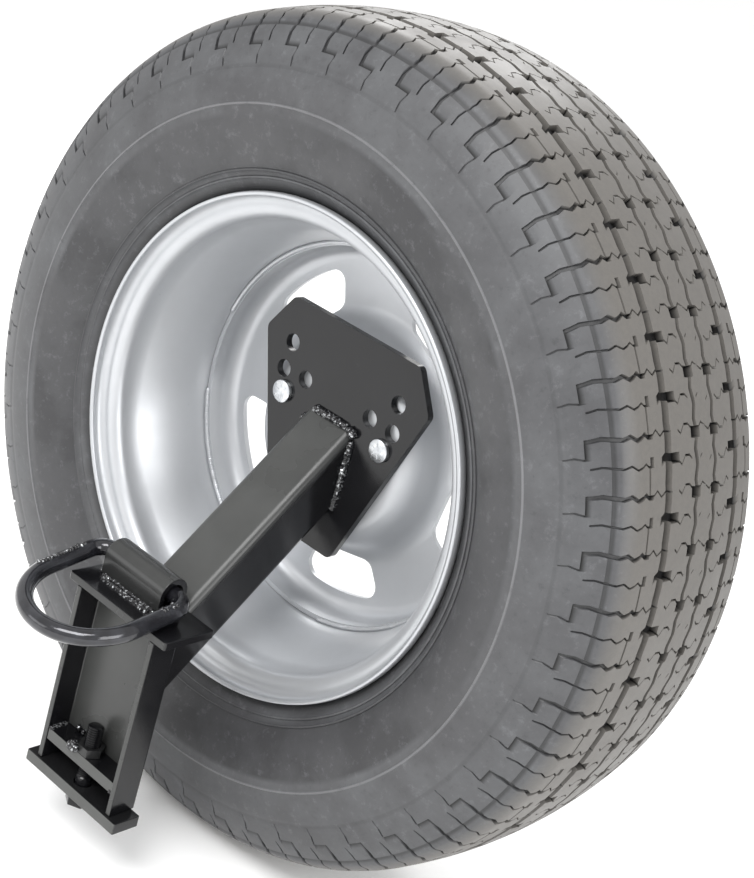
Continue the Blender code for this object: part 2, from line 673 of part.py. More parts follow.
def hand_hole_outline(angle):
    """Window between two spokes of the disc, round at its corners, its outer edge on a circle."""
    wide = HAND_HOLE_HALF_ANGLE
    narrow = HAND_HOLE_INNER_HALF_ANGLE
    corner = min(HAND_HOLE_CORNER, 0.45 * (HAND_HOLE_OUT - HAND_HOLE_IN))
    corners = [(HAND_HOLE_OUT, -wide, corner)]
    corners += [(HAND_HOLE_OUT, wide * share, 0) for share in (-0.5, -0.25, 0, 0.25, 0.5)]
    corners += [(HAND_HOLE_OUT, wide, corner),
                (HAND_HOLE_IN, narrow, corner), (HAND_HOLE_IN, -narrow, corner)]
    return rounded([(r * math.cos(angle + t), r * math.sin(angle + t), radius) for r, t, radius in corners])


def make_disc(parts, cutters, paint, holder, place):
    disc = turned("wheel_disc", disc_profile(), False, WHEEL_STEPS, place, DISC_WALL)
    step = 2 * math.pi / WHEEL_BOLTS
    for i in range(WHEEL_BOLTS):
        # Local +Y of the wheel points down, so angles are turned the other way
        outline = hand_hole_outline(-(HAND_HOLE_PHASE + i * step))
        window = flat_solid(f"hand_hole_{i}", [outline], 4 * DISC_RISE, place)
        apply_boolean(disc, window, "DIFFERENCE", cutters)
    grow = (LUG_NUT_CONE_RADIUS - LUG_NUT_TIP_RADIUS) / LUG_NUT_CONE_HEIGHT
    tip = LUG_NUT_TIP_RADIUS + GAP
    far = DISC_WALL + LUG_SEAT_REACH
    wide = tip + grow * far
    profile = [(0.0, far), (wide, far), (tip, 0.0), (tip, -LUG_SEAT_REACH), (0.0, -LUG_SEAT_REACH)]
    for i in range(WHEEL_BOLTS):
        angle = -(STUD_ANGLE + i * step)
        centre = Vector((math.cos(angle), math.sin(angle), 0)) * BOLT_CIRCLE / 2
        spot = place @ Matrix.Translation(centre + Vector((0, 0, PAD_FACE)))
        seat = turned(f"lug_seat_{i}", profile, False, 20, spot)
        apply_boolean(disc, seat, "DIFFERENCE", cutters)
    finish(disc, parts, paint, holder)


def make_lug_nuts(parts, cutters, zinc, place):
    """Open-ended cone nuts, seated in the disc's lug holes, each turning on its stud."""
    base = LUG_NUT_CONE_HEIGHT
    corner = LUG_NUT_ACROSS_FLATS / math.sqrt(3)
    high = base + LUG_NUT_HEIGHT
    bore = STUD_RADIUS + GAP
    envelope = [
        (0.0, high), (LUG_NUT_CROWN_RADIUS, high), (corner, high - LUG_NUT_CROWN),
        (corner, base + LUG_NUT_COLLAR),
        (LUG_NUT_CONE_RADIUS, base), (LUG_NUT_TIP_RADIUS, 0.0), (0.0, 0.0),
    ]
    drill_profile = [(0, 2 * high), (bore, 2 * high), (bore, -high), (0, -high)]
    for name, (x, z) in zip(("lug_nut_left", "lug_nut_right"), STUD_PLACES):
        spot = place @ Matrix.Translation((x, -z, PAD_FACE + GAP))
        nut = turned(name, envelope, False, 24, spot)
        below = spot @ Matrix.Translation((0, 0, -base))
        hexagon = prism(f"{name}_hexagon", LUG_NUT_ACROSS_FLATS, 2 * high, below)
        apply_boolean(nut, hexagon, "INTERSECT", cutters)
        drill = turned(f"{name}_bore", drill_profile, False, 20, spot)
        apply_boolean(nut, drill, "DIFFERENCE", cutters)
        holder = empty(f"{name}_axis", spot.translation, parts)
        finish(nut, parts, zinc, holder)


def tyre_half():
    """Outside of half the tyre from bead toe to crown, as (radius, distance from the middle)."""
    inside = RIM_WIDTH / 2
    curl = (inside + FLANGE_RADIUS, RIM_SEAT_RADIUS + FLANGE_HEIGHT - FLANGE_RADIUS)
    heel = (inside - HEEL_RADIUS, RIM_SEAT_RADIUS + HEEL_RADIUS)
    wide = TYRE_SECTION / 2
    height = TYRE_RADIUS - RIM_SEAT_RADIUS
    points = [(inside - SEAT_WIDTH + BEAD_TOE, RIM_SEAT_RADIUS + GAP)]
    points += arc(heel, HEEL_RADIUS - 2 * GAP, -math.pi / 2, 0, WHEEL_ARC_STEP)
    points += arc(curl, FLANGE_RADIUS + 2 * GAP, math.pi, math.radians(105), WHEEL_ARC_STEP)
    side = [(0.846, 0.160), (0.913, 0.236), (0.971, 0.345), (1.0, 0.506), (0.968, 0.655),
            (0.881, 0.811), (0.758, 0.923)]
    points += [(wide * across, RIM_SEAT_RADIUS + height * up) for across, up in side]
    crown = [(1.0, 0.961), (0.68, 0.982), (0.34, 0.995), (0.0, 1.0)]
    points += [(TREAD_HALF_WIDTH * across, RIM_SEAT_RADIUS + height * up) for across, up in crown]
    return [(radius, distance) for distance, radius in points]


def tyre_inside_half():
    """Inside of half the tyre from crown to bead toe, as (radius, distance from the middle)."""
    inside = RIM_WIDTH / 2
    wide = TYRE_SECTION / 2 - SIDEWALL_THICKNESS
    low = RIM_SEAT_RADIUS
    height = TYRE_RADIUS - TREAD_THICKNESS - low
    points = [(0.0, 1.0), (0.70, 0.975), (0.90, 0.82), (1.0, 0.56), (0.955, 0.36), (0.74, 0.165)]
    outline = [(low + height * up, wide * across) for across, up in points]
    outline.append((low + BEAD_HEIGHT, inside - SEAT_WIDTH + BEAD_TOE_INSIDE))
    return outline


def make_tyre(parts, rubber, holder, place):
    outside = tyre_half()
    inside = tyre_inside_half()
    profile = list(outside)
    profile += [(radius, -distance) for radius, distance in reversed(outside[:-1])]
    profile += [(radius, -distance) for radius, distance in reversed(inside)]
    profile += inside[1:]
    finish(turned("tyre", profile, True, WHEEL_STEPS, place), parts, rubber, holder)


def main():
    clear_scene()
    parts = new_collection("spare_tire_carrier")
    cutters = new_collection("cutters")
    paint = new_material("black_paint", (0.012, 0.012, 0.013), 0.0, 0.28)
    zinc = new_material("zinc_plate", (0.55, 0.56, 0.58), 1.0, 0.35)
    silver = new_material("silver_paint", (0.50, 0.51, 0.53), 0.6, 0.36)
    tyre_rubber = new_material("tyre_rubber", (0.050, 0.050, 0.052), 0.0, 0.70)
    valve_rubber = new_material("valve_rubber", (0.020, 0.020, 0.020), 0.0, 0.60)
    brass = new_material("valve_brass", (0.55, 0.40, 0.16), 1.0, 0.35)
    plastic = new_material("black_plastic", (0.018, 0.018, 0.018), 0.0, 0.45)

    make_stub(parts, paint)
    make_cap(parts, paint)
    make_shelf(parts, paint)
    make_clamp(parts, cutters, paint)
    make_arm(parts, cutters, paint)
    make_plate(parts, paint)
    make_studs(parts, zinc)
    make_clip(parts, paint)
    make_ring(parts, paint)

    holder = empty("spare_wheel", (0, WHEEL_Y, WHEEL_Z), parts)
    place = Matrix.Translation((0, WHEEL_Y, WHEEL_Z)) @ WHEEL_TURN
    make_rim(parts, cutters, silver, holder, place)
    make_disc(parts, cutters, silver, holder, place)
    make_valve(parts, valve_rubber, brass, plastic, holder, place)
    make_lug_nuts(parts, cutters, zinc, place)
    make_tyre(parts, tyre_rubber, holder, place)


main()
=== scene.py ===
"""Finished looks of a stake-pocket spare tyre carrier and its wheel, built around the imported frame.

Metres, +Z up. The wheel's axis runs along +Y, from the carrier towards the outside of the wheel.
"""

import math
import random

import bmesh
import bpy
from bpy.props import (
    FloatProperty, FloatVectorProperty, IntProperty, PointerProperty, StringProperty,
)
from mathutils import Euler, Matrix, Vector


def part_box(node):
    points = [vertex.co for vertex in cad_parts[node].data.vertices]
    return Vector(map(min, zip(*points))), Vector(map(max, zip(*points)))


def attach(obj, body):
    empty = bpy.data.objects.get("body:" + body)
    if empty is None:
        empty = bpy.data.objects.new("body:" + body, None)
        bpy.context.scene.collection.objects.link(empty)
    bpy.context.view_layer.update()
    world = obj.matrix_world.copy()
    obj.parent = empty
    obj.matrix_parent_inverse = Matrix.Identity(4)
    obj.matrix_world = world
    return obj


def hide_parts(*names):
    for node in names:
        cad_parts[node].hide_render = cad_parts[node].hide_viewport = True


bl_info = {
    "name": "Spare Tyre Carrier",
    "version": (1, 0, 0),
    "blender": (4, 5, 0),
    "location": "3D View > Sidebar > Carrier",
    "description": "Builds the finished looks of a spare tyre carrier and its wheel",
    "category": "Object",
}

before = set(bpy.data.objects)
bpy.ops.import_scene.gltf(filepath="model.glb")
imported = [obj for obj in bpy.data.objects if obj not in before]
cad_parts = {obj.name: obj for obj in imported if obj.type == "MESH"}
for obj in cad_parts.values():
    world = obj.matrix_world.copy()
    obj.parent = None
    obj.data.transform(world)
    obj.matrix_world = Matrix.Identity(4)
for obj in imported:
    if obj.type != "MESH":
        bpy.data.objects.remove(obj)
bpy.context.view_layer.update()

MM = 0.001

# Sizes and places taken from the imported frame
TYRE_LOW, TYRE_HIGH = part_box("tyre")
WHEEL = (TYRE_LOW + TYRE_HIGH) / 2
TYRE_RADIUS = (TYRE_HIGH.z - TYRE_LOW.z) / 2
TYRE_HALF_SECTION = (TYRE_HIGH.y - TYRE_LOW.y) / 2
PLATE_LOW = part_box("mounting_plate")[0]
CAP_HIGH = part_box("cap_plate")[1]
STUB_LOW, STUB_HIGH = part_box("stub_channel")
SHELF_LOW, SHELF_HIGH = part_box("shelf_plate")
ARM_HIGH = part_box("arm_tube")[1]
CLIP_LOW, CLIP_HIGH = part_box("ring_clip")
BOLT_LOW, BOLT_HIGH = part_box("clamp_bolt")
NUT_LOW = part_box("shelf_nut")[0]
BOLT_X = (BOLT_LOW.x + BOLT_HIGH.x) / 2
BOLT_Y = (BOLT_LOW.y + BOLT_HIGH.y) / 2


def hex_colour(code, description, name):
    return StringProperty(name=name, description=description + ", as sRGB hex", default=code)


def linear(code):
    """Linear RGBA of an sRGB hex colour such as 8A8D90."""
    parts = [int(code[i:i + 2], 16) / 255 for i in (0, 2, 4)]
    return (*[c / 12.92 if c <= 0.04045 else ((c + 0.055) / 1.055) ** 2.4 for c in parts], 1.0)


# ---------------------------------------------------------------- settings


def length(name, description, default):
    return FloatProperty(name=name, description=description, default=default, unit="LENGTH")


class CarrierTyreSettings(bpy.types.PropertyGroup):
    pitches: IntProperty(name="Pitches", description="Tread pitches round the tyre", default=52, min=20)
    groove: length("Groove depth", "Depth of the main tread grooves", 7.5 * MM)
    sipe: length("Sipe depth", "Depth of the thin cross cuts", 3.2 * MM)
    side_colour: hex_colour("3A3A3C", "Sidewall rubber", "Sidewall colour")
    tread_colour: hex_colour("5C5955", "Dusty rubber of the tread", "Tread colour")
    # The dark colour is painted shade for the bottoms of the tread's cuts
    groove_shade_colour: hex_colour("0C0C0D", "Clean dark rubber of grooves and bands", "Dark colour")


class CarrierWheelSettings(bpy.types.PropertyGroup):
    steps: IntProperty(name="Steps", description="Facets round the wheel", default=160, min=48)
    rim_wall: length("Rim wall", "Sheet thickness of the rim", 3.0 * MM)
    disc_wall: length("Disc wall", "Sheet thickness of the disc", 4.0 * MM)
    colour: hex_colour("B9BBBE", "Silver enamel", "Paint colour")


class CarrierSteelSettings(bpy.types.PropertyGroup):
    edge: length("Edge radius", "Rounding of sawn and sheared edges", 0.7 * MM)
    colour: hex_colour("0E0E10", "Black enamel", "Paint colour")
    weld_seed: IntProperty(name="Weld seed", description="Seed of the weld ripples", default=7)
    weld_colour: hex_colour("131315", "Black enamel over weld metal", "Weld colour")


class CarrierRingSettings(bpy.types.PropertyGroup):
    half_width: length("Half width", "Half the ring's width at its wire's middle", 49.0 * MM)
    depth: length("Depth", "From the straight side to the bow's middle line", 98.5 * MM)
    corner: length("Corner radius", "Bend between the straight side and a leg", 13.5 * MM)
    wire: length("Wire radius", "Radius of the round bar", 6.7 * MM)
    droop: FloatProperty(name="Droop", description="Angle below the level at rest",
                         default=math.radians(11.36), unit="ROTATION")


class CarrierFastenerSettings(bpy.types.PropertyGroup):
    stud_pitch: length("Stud pitch", "Thread pitch of the wheel studs", 1.27 * MM)
    bolt_pitch: length("Bolt pitch", "Thread pitch of the clamp bolt", 1.95 * MM)
    zinc_colour: hex_colour("D2D4D6", "Bright zinc plate", "Zinc colour")
    brass_colour: hex_colour("C9A661", "Turned brass", "Brass colour")
    rubber_colour: hex_colour("1C1C1C", "Valve rubber", "Valve rubber colour")


class CarrierStageSettings(bpy.types.PropertyGroup):
    camera: FloatVectorProperty(name="Camera", description="Where the camera stands",
                                default=(0.8001, -0.8420, 0.6352), subtype="TRANSLATION")
    turn: FloatVectorProperty(name="Camera turn", description="Euler angles of the camera",
                              default=tuple(map(math.radians, (67.898, -15.419, 42.779))),
                              subtype="EULER")
    lens: FloatProperty(name="Lens", description="Focal length on a 36 mm frame", default=72.5)
    floor_colour: hex_colour("FFFFFE", "Matt floor", "Floor colour")


# ---------------------------------------------------------------- materials


def add(tree, kind, inputs=None, **settings):
    """One shader node with its settings. An input is a value, or the output that feeds it."""
    node = tree.nodes.new(kind)
    for key, value in settings.items():
        setattr(node, key, value)
    for key, value in (inputs or {}).items():
        if isinstance(value, bpy.types.NodeSocket):
            tree.links.new(value, node.inputs[key])
        else:
            node.inputs[key].default_value = value
    return node


def new_material(name, **shader_inputs):
    """A material with its tree, its shader and its object coordinates in metres."""
    material = bpy.data.materials.new(name)
    material.use_nodes = True
    tree = material.node_tree
    shader = tree.nodes["Principled BSDF"]
    for key, value in shader_inputs.items():
        shader.inputs[key.replace("_", " ")].default_value = value
    place = add(tree, "ShaderNodeTexCoord").outputs["Object"]
    return material, tree, shader, place


def noise(tree, place, size, detail=3.0, roughness=0.55):
    """Noise whose blotches are about size metres across."""
    return add(tree, "ShaderNodeTexNoise", {"Vector": place, "Scale": 1 / size, "Detail": detail,
                                            "Roughness": roughness}).outputs["Fac"]


def remap(tree, value, low, high, to_low, to_high):
    return add(tree, "ShaderNodeMapRange", {"Value": value, "From Min": low, "From Max": high,
                                            "To Min": to_low, "To Max": to_high}).outputs["Result"]


def mix(tree, share, first, second):
    """Colour between first and second, each a colour or an output."""
    return add(tree, "ShaderNodeMix", {0: share, 6: first, 7: second}, data_type="RGBA").outputs[2]


def maths(tree, operation, *values):
    return add(tree, "ShaderNodeMath", dict(enumerate(values)), operation=operation).outputs[0]


def bump(tree, shader, layers):
    """Stack (height, distance in metres, strength) layers into the shader's normal."""
    normal = None
    for height, distance, strength in layers:
        inputs = {"Height": height, "Distance": distance, "Strength": strength}
        if normal:
            inputs["Normal"] = normal
        normal = add(tree, "ShaderNodeBump", inputs).outputs["Normal"]
    tree.links.new(normal, shader.inputs["Normal"])


def enamelled_steel(colour):
    """Sprayed black enamel over hot-rolled steel: semi-gloss, with the scale's grain showing through."""
    material, tree, shader, place = new_material("black_enamel_on_hot_rolled_steel", IOR=1.5,
                                                 Specular_IOR_Level=0.36)
    cloud = noise(tree, place, 45 * MM)
    dust = noise(tree, place, 6 * MM, 5.0, 0.7)
    base = mix(tree, remap(tree, cloud, 0.35, 0.7, 0.0, 0.5), linear(colour), linear("19191B"))
    base = mix(tree, remap(tree, dust, 0.62, 0.78, 0.0, 0.2), base, linear("4A4A49"))
    # Painted light: faces that look up, forwards and to the left go from black to a warm grey, as if catching
    # light and reflections
    painted_light = add(tree, "ShaderNodeAttribute", attribute_name="painted_light").outputs["Fac"]
    share = maths(tree, "MULTIPLY", painted_light, remap(tree, cloud, 0.3, 0.7, 0.75, 1.0))
    base = mix(tree, share, base, linear("5A5B59"))
    tree.links.new(base, shader.inputs["Base Color"])
    tree.links.new(maths(tree, "MULTIPLY_ADD", painted_light, 0.2, remap(tree, cloud, 0.3, 0.7, 0.14, 0.24)),
                   shader.inputs["Roughness"])
    # Orange peel about 1.5 mm across over rolled waves of some 25 mm
    bump(tree, shader, [(noise(tree, place, 25 * MM, 2.0), 0.6 * MM, 0.25),
                        (noise(tree, place, 1.5 * MM, 2.0), 0.04 * MM, 0.5)])
    return material


def enamelled_weld(colour):
    """Enamel pooled over rippled weld metal: glossier than the plate, and lumpy."""
    material, tree, shader, place = new_material("black_enamel_on_weld", IOR=1.5, Roughness=0.16)
    patch = noise(tree, place, 2.2 * MM, 4.0)
    # Painted glints: bright metallic patches scattered over the bead by a fine noise
    painted_glint = remap(tree, patch, 0.55, 0.63, 0.0, 1.0)
    base = mix(tree, painted_glint, linear(colour), linear("B9BBBD"))
    tree.links.new(base, shader.inputs["Base Color"])
    tree.links.new(maths(tree, "MULTIPLY", painted_glint, 0.8), shader.inputs["Metallic"])
    bump(tree, shader, [(noise(tree, place, 2.4 * MM, 3.0), 0.25 * MM, 0.6)])
    return material


def forged_ring(colour):
    """Thick wet-look enamel on a bent round bar: high gloss with slow dents."""
    material, tree, shader, place = new_material("gloss_enamel_on_forged_bar", IOR=1.5, Metallic=0.45,
                                                 Coat_Weight=0.6, Coat_Roughness=0.08)
    cloud = noise(tree, place, 14 * MM)
    base = mix(tree, remap(tree, cloud, 0.4, 0.7, 0.0, 1.0), linear(colour), linear("34353A"))
    tree.links.new(base, shader.inputs["Base Color"])
    tree.links.new(remap(tree, cloud, 0.3, 0.7, 0.09, 0.2), shader.inputs["Roughness"])
    bump(tree, shader, [(noise(tree, place, 7 * MM, 2.0), 0.5 * MM, 0.45),
                        (noise(tree, place, 1.8 * MM, 2.0), 0.08 * MM, 0.5)])
    return material


def silver_enamel(colour):
    """Silver wheel enamel on pressed steel: fine metal flake under a satin film, dulled by handling."""
    material, tree, shader, place = new_material("silver_enamel_on_pressed_steel", Metallic=0.65,
                                                 Coat_Weight=0.25, Coat_Roughness=0.2)
    cloud = noise(tree, place, 60 * MM, 4.0)
    scuff = noise(tree, place, 5 * MM, 6.0, 0.75)
    base = mix(tree, remap(tree, cloud, 0.35, 0.7, 0.0, 1.0), linear(colour), linear("B4B6B9"))
    base = mix(tree, remap(tree, scuff, 0.66, 0.74, 0.0, 0.35), base, linear("77787A"))
    tree.links.new(base, shader.inputs["Base Color"])
    tree.links.new(remap(tree, cloud, 0.3, 0.7, 0.36, 0.48), shader.inputs["Roughness"])
    # Flake is drawn at 0.8 mm, coarser than life, so that it shows
    bump(tree, shader, [(noise(tree, place, 30 * MM, 2.0), 0.4 * MM, 0.25),
                        (noise(tree, place, 0.8 * MM, 1.0), 0.02 * MM, 0.35)])
    return material


def zinc_plate(colour):
    """Bright zinc over cold-headed steel: grey-white metal with faint tool marks."""
    material, tree, shader, place = new_material("bright_zinc_plate", Metallic=1.0)
    cloud = noise(tree, place, 4 * MM, 4.0)
    base = mix(tree, remap(tree, cloud, 0.3, 0.7, 0.0, 1.0), linear(colour), linear("A9ACB0"))
    tree.links.new(base, shader.inputs["Base Color"])
    tree.links.new(remap(tree, cloud, 0.3, 0.7, 0.22, 0.38), shader.inputs["Roughness"])
    bump(tree, shader, [(noise(tree, place, 0.7 * MM, 2.0), 0.04 * MM, 0.5)])
    return material


def turned_brass(colour):
    """Brass bar turned on a lathe: warm metal with rings left by the tool."""
    material, tree, shader, place = new_material("turned_brass", Metallic=1.0, Roughness=0.3)
    cloud = noise(tree, place, 2 * MM, 3.0)
    tree.links.new(mix(tree, cloud, linear(colour), linear("9C7C40")), shader.inputs["Base Color"])
    bump(tree, shader, [(noise(tree, place, 0.4 * MM, 1.0), 0.02 * MM, 0.5)])
    return material


def moulded(name, colour, grain, roughness):
    """Moulded rubber or plastic: matt and dark with a fine even grain."""
    material, tree, shader, place = new_material(name, IOR=1.5, Roughness=roughness)
    cloud = noise(tree, place, 8 * MM, 4.0)
    tree.links.new(mix(tree, cloud, linear(colour), linear("3A3A39")), shader.inputs["Base Color"])
    bump(tree, shader, [(noise(tree, place, grain, 2.0), 0.04 * MM, 0.5)])
    return material


def tyre_rubber(settings):
    """Moulded tread and sidewall rubber: matt grey, dusty on the tread, cleaner and darker in bands, with
    painted shade in the tread's cuts.
    """
    material, tree, shader, place = new_material("moulded_tyre_rubber", IOR=1.5)
    centred = add(tree, "ShaderNodeMapping", {"Vector": place, "Location": -WHEEL}).outputs["Vector"]
    flat = add(tree, "ShaderNodeMapping", {"Vector": centred, "Scale": (1, 0, 1)}).outputs["Vector"]
    radius = add(tree, "ShaderNodeVectorMath", {0: flat}, operation="LENGTH").outputs["Value"]
    smear = noise(tree, place, 50 * MM, 5.0, 0.6)
    speck = noise(tree, place, 4 * MM, 6.0, 0.7)
    side = mix(tree, remap(tree, smear, 0.35, 0.7, 0.0, 1.0), linear(settings.side_colour), linear("4C4D4F"))
    # The lettering's place on the sidewall is a plain band of darker rubber
    band = maths(tree, "MULTIPLY", remap(tree, radius, 0.206, 0.211, 0.0, 1.0),
                 remap(tree, radius, 0.248, 0.252, 1.0, 0.0))
    band = maths(tree, "MULTIPLY", band, remap(tree, smear, 0.35, 0.6, 0.3, 1.0))
    side = mix(tree, band, side, linear("2C2C2E"))
    rings = maths(tree, "ABSOLUTE", maths(tree, "SUBTRACT", radius, 0.2575))
    side = mix(tree, remap(tree, rings, 0.0006, 0.0014, 0.6, 0.0), side, linear("6E6E70"))
    side = mix(tree, remap(tree, radius, 0.198, 0.203, 0.8, 0.0), side, linear("202021"))
    # Rubbed patches and streaks lighten the sidewall
    scuff = noise(tree, place, 9 * MM, 8.0, 0.78)
    side = mix(tree, remap(tree, scuff, 0.55, 0.72, 0.0, 0.4), side, linear("6C6D70"))
    side = mix(tree, remap(tree, scuff, 0.45, 0.30, 0.0, 0.5), side, linear("29292B"))
    worn = remap(tree, radius, TYRE_RADIUS - 14 * MM, TYRE_RADIUS - 6 * MM, 0.0, 1.0)
    grime = remap(tree, speck, 0.35, 0.75, 0.0, 0.6)
    tread = mix(tree, grime, linear(settings.tread_colour), linear("4F4D4B"))
    base = mix(tree, worn, side, tread)
    # Painted shade: cut faces below the tread's surface are darkened towards the dark colour, most in deep
    # and narrow cuts
    depth = add(tree, "ShaderNodeAttribute", attribute_name="depth").outputs["Fac"]
    base = mix(tree, remap(tree, depth, 0.1, 1.0, 0.0, 1.0), base, linear(settings.groove_shade_colour))
    base = mix(tree, remap(tree, speck, 0.68, 0.80, 0.0, 0.3), base, linear("8B8A86"))
    tree.links.new(base, shader.inputs["Base Color"])
    tree.links.new(remap(tree, smear, 0.3, 0.7, 0.40, 0.56), shader.inputs["Roughness"])
    bump(tree, shader, [(noise(tree, place, 1.2 * MM, 3.0), 0.08 * MM, 0.5),
                        (noise(tree, place, 12 * MM, 3.0), 0.3 * MM, 0.25)])
    return material


# ---------------------------------------------------------------- shapes


def piece(name, bm, material, body, replaces=(), smooth=40.0, recalculate=True):
    """Make the mesh a finished object that rides on its body."""
    if recalculate:
        bmesh.ops.recalc_face_normals(bm, faces=bm.faces)
    mesh = bpy.data.meshes.new(name)
    bm.to_mesh(mesh)
    bm.free()
    mesh.shade_smooth()
    mesh.set_sharp_from_angle(angle=math.radians(smooth))
    mesh.materials.append(material)
    obj = bpy.data.objects.new(name, mesh)
    bpy.context.scene.collection.objects.link(obj)
    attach(obj, body)
    if replaces:
        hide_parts(*replaces)
    return obj


def arc(centre, radius, start, end, steps):
    """Points on an arc between two angles in degrees, both ends included."""
    angles = [math.radians(start + (end - start) * i / steps) for i in range(steps + 1)]
    return [(centre[0] + radius * math.cos(a), centre[1] + radius * math.sin(a)) for a in angles]


# Wheel pieces are spun about Z and then turned, so that their +Z points along +Y
WHEEL_PLACE = Matrix.Translation(WHEEL) @ Matrix.Rotation(-math.pi / 2, 4, "X")


def spun(profile, steps, closed=False, place=WHEEL_PLACE):
    """Spin a (radius, height) profile about Z, close it, and move it to its place."""
    bm = bmesh.new()
    verts = [bm.verts.new((radius, 0, height)) for radius, height in profile]
    pairs = list(zip(verts, verts[1:])) + ([(verts[-1], verts[0])] if closed else [])
    edges = [bm.edges.new(pair) for pair in pairs]
    bmesh.ops.spin(bm, geom=verts + edges, cent=(0, 0, 0), axis=(0, 0, 1), angle=2 * math.pi,
                   steps=steps, use_merge=True)
    bmesh.ops.remove_doubles(bm, verts=bm.verts, dist=0.01 * MM)
    bmesh.ops.transform(bm, matrix=place, verts=bm.verts)
    return bm


def tube(path, radius, closed, sides=10, radii=None):
    """Round bar along a path, its ends capped, as a bmesh."""
    data = bpy.data.curves.new("path", "CURVE")
    data.dimensions = "3D"
    data.bevel_depth = radius
    data.bevel_resolution = max(0, sides // 2 - 2)
    data.use_fill_caps = True
    spline = data.splines.new("POLY")
    spline.points.add(len(path) - 1)
    for i, (point, place) in enumerate(zip(spline.points, path)):
        point.co = (*place, 1.0)
        point.radius = radii[i] if radii else 1.0
    spline.use_cyclic_u = closed
    helper = bpy.data.objects.new("path", data)
    bm = bmesh.new()
    bm.from_mesh(helper.to_mesh())
    helper.to_mesh_clear()
    bpy.data.objects.remove(helper)
    bmesh.ops.remove_doubles(bm, verts=bm.verts, dist=0.01 * MM)
    return bm


def merge(target, source):
    """Copy the source bmesh into the target and free it."""
    mesh = bpy.data.meshes.new("part")
    source.to_mesh(mesh)
    source.free()
    target.from_mesh(mesh)
    bpy.data.meshes.remove(mesh)


def bead(path, radius, rng):
    """Weld bead: overlapping ripples about 2 mm apart along a straight or bent line."""
    points, radii = [], []
    for a, b in zip(path, path[1:]):
        a, b = Vector(a), Vector(b)
        count = max(3, round((b - a).length / (0.7 * MM)))
        for i in range(count + (b == Vector(path[-1]))):
            drift = Vector([rng.uniform(-1, 1) for _ in range(3)]) * 0.06 * radius
            points.append(a.lerp(b, i / count) + drift)
    for i in range(len(points)):
        ripple = abs(math.sin(math.pi * i / 3.1))
        end = min(1.0, 0.45 + 0.2 * min(i, len(points) - 1 - i))
        radii.append(end * (0.88 + 0.12 * ripple + rng.uniform(-0.04, 0.04)))
    return tube(points, radius, False, 8, radii)


def blob(centre, radius, rng):
    """A lump of weld metal."""
    bm = bmesh.new()
    bmesh.ops.create_icosphere(bm, subdivisions=2, radius=radius)
    for vert in bm.verts:
        vert.co *= 1 + rng.uniform(-0.08, 0.08)
    bmesh.ops.translate(bm, vec=centre, verts=bm.verts)
    return bm


# How much painted light and reflection each piece's tops and fronts get
PAINTED_LIGHT = {
    "arm_tube": (0.7, 0.0), "cap_plate": (0.0, 0.25), "ring_clip": (0.3, 0.2), "clamp_bar": (0.05, 0.7),
    "shelf_plate": (0.0, 0.7), "shelf_nut": (0.1, 0.2), "stub_channel": (0.0, 0.45),
}


def painted_light_share(node, normal):
    """Share of painted light on a face, from the way it looks."""
    top, front = PAINTED_LIGHT.get(node, (0.0, 0.0))
    return top * max(0.0, normal.z) + front * max(0.0, -normal.y, -0.6 * normal.x)


def softened(node, edge, sharpest=25.0):
    """Copy of a CAD node, its faces merged and its sharp edges rounded in two steps."""
    bm = bmesh.new()
    bm.from_mesh(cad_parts[node].data)
    bmesh.ops.remove_doubles(bm, verts=bm.verts, dist=0.005 * MM)
    bmesh.ops.dissolve_limit(bm, angle_limit=math.radians(0.5), verts=bm.verts, edges=bm.edges)
    # Each face's share of painted light, laid down before the edges are rounded
    layer = bm.faces.layers.float.new("painted_light")
    for face in bm.faces:
        face[layer] = painted_light_share(node, face.normal)
    hard = [e for e in bm.edges if e.is_manifold and e.calc_face_angle(0) > math.radians(sharpest)]
    bmesh.ops.bevel(bm, geom=hard, offset=edge, offset_type="OFFSET", affect="EDGES", segments=2,
                    profile=0.5, material=-1, clamp_overlap=True)
    bmesh.ops.triangulate(bm, faces=[f for f in bm.faces if len(f.verts) > 4])
    return bm


def weighted(obj):
    """Keep the shading of flat faces flat up to their rounded edges."""
    modifier = obj.modifiers.new("flat faces", "WEIGHTED_NORMAL")
    modifier.keep_sharp = True
    return obj


def threaded(radius, pitch, length, place, steps=20):
    """V thread spun up a helix, closed at both ends."""
    root = radius - 0.6 * pitch
    bm = bmesh.new()
    verts = [bm.verts.new((r, 0, h)) for r, h in
             ((root, 0), (radius, 0.44 * pitch), (radius, 0.56 * pitch), (root, pitch))]
    edges = [bm.edges.new(pair) for pair in zip(verts, verts[1:])]
    turns = round(length / pitch) - 1
    bmesh.ops.spin(bm, geom=verts + edges, cent=(0, 0, 0), axis=(0, 0, 1), dvec=(0, 0, pitch / steps),
                   angle=2 * math.pi * turns, steps=steps * turns)
    bmesh.ops.remove_doubles(bm, verts=bm.verts, dist=0.01 * MM)
    bmesh.ops.edgeloop_fill(bm, edges=[e for e in bm.edges if e.is_boundary])
    bmesh.ops.triangulate(bm, faces=[f for f in bm.faces if len(f.verts) > 4])
    bmesh.ops.transform(bm, matrix=place, verts=bm.verts)
    return bm


# ---------------------------------------------------------------- tyre

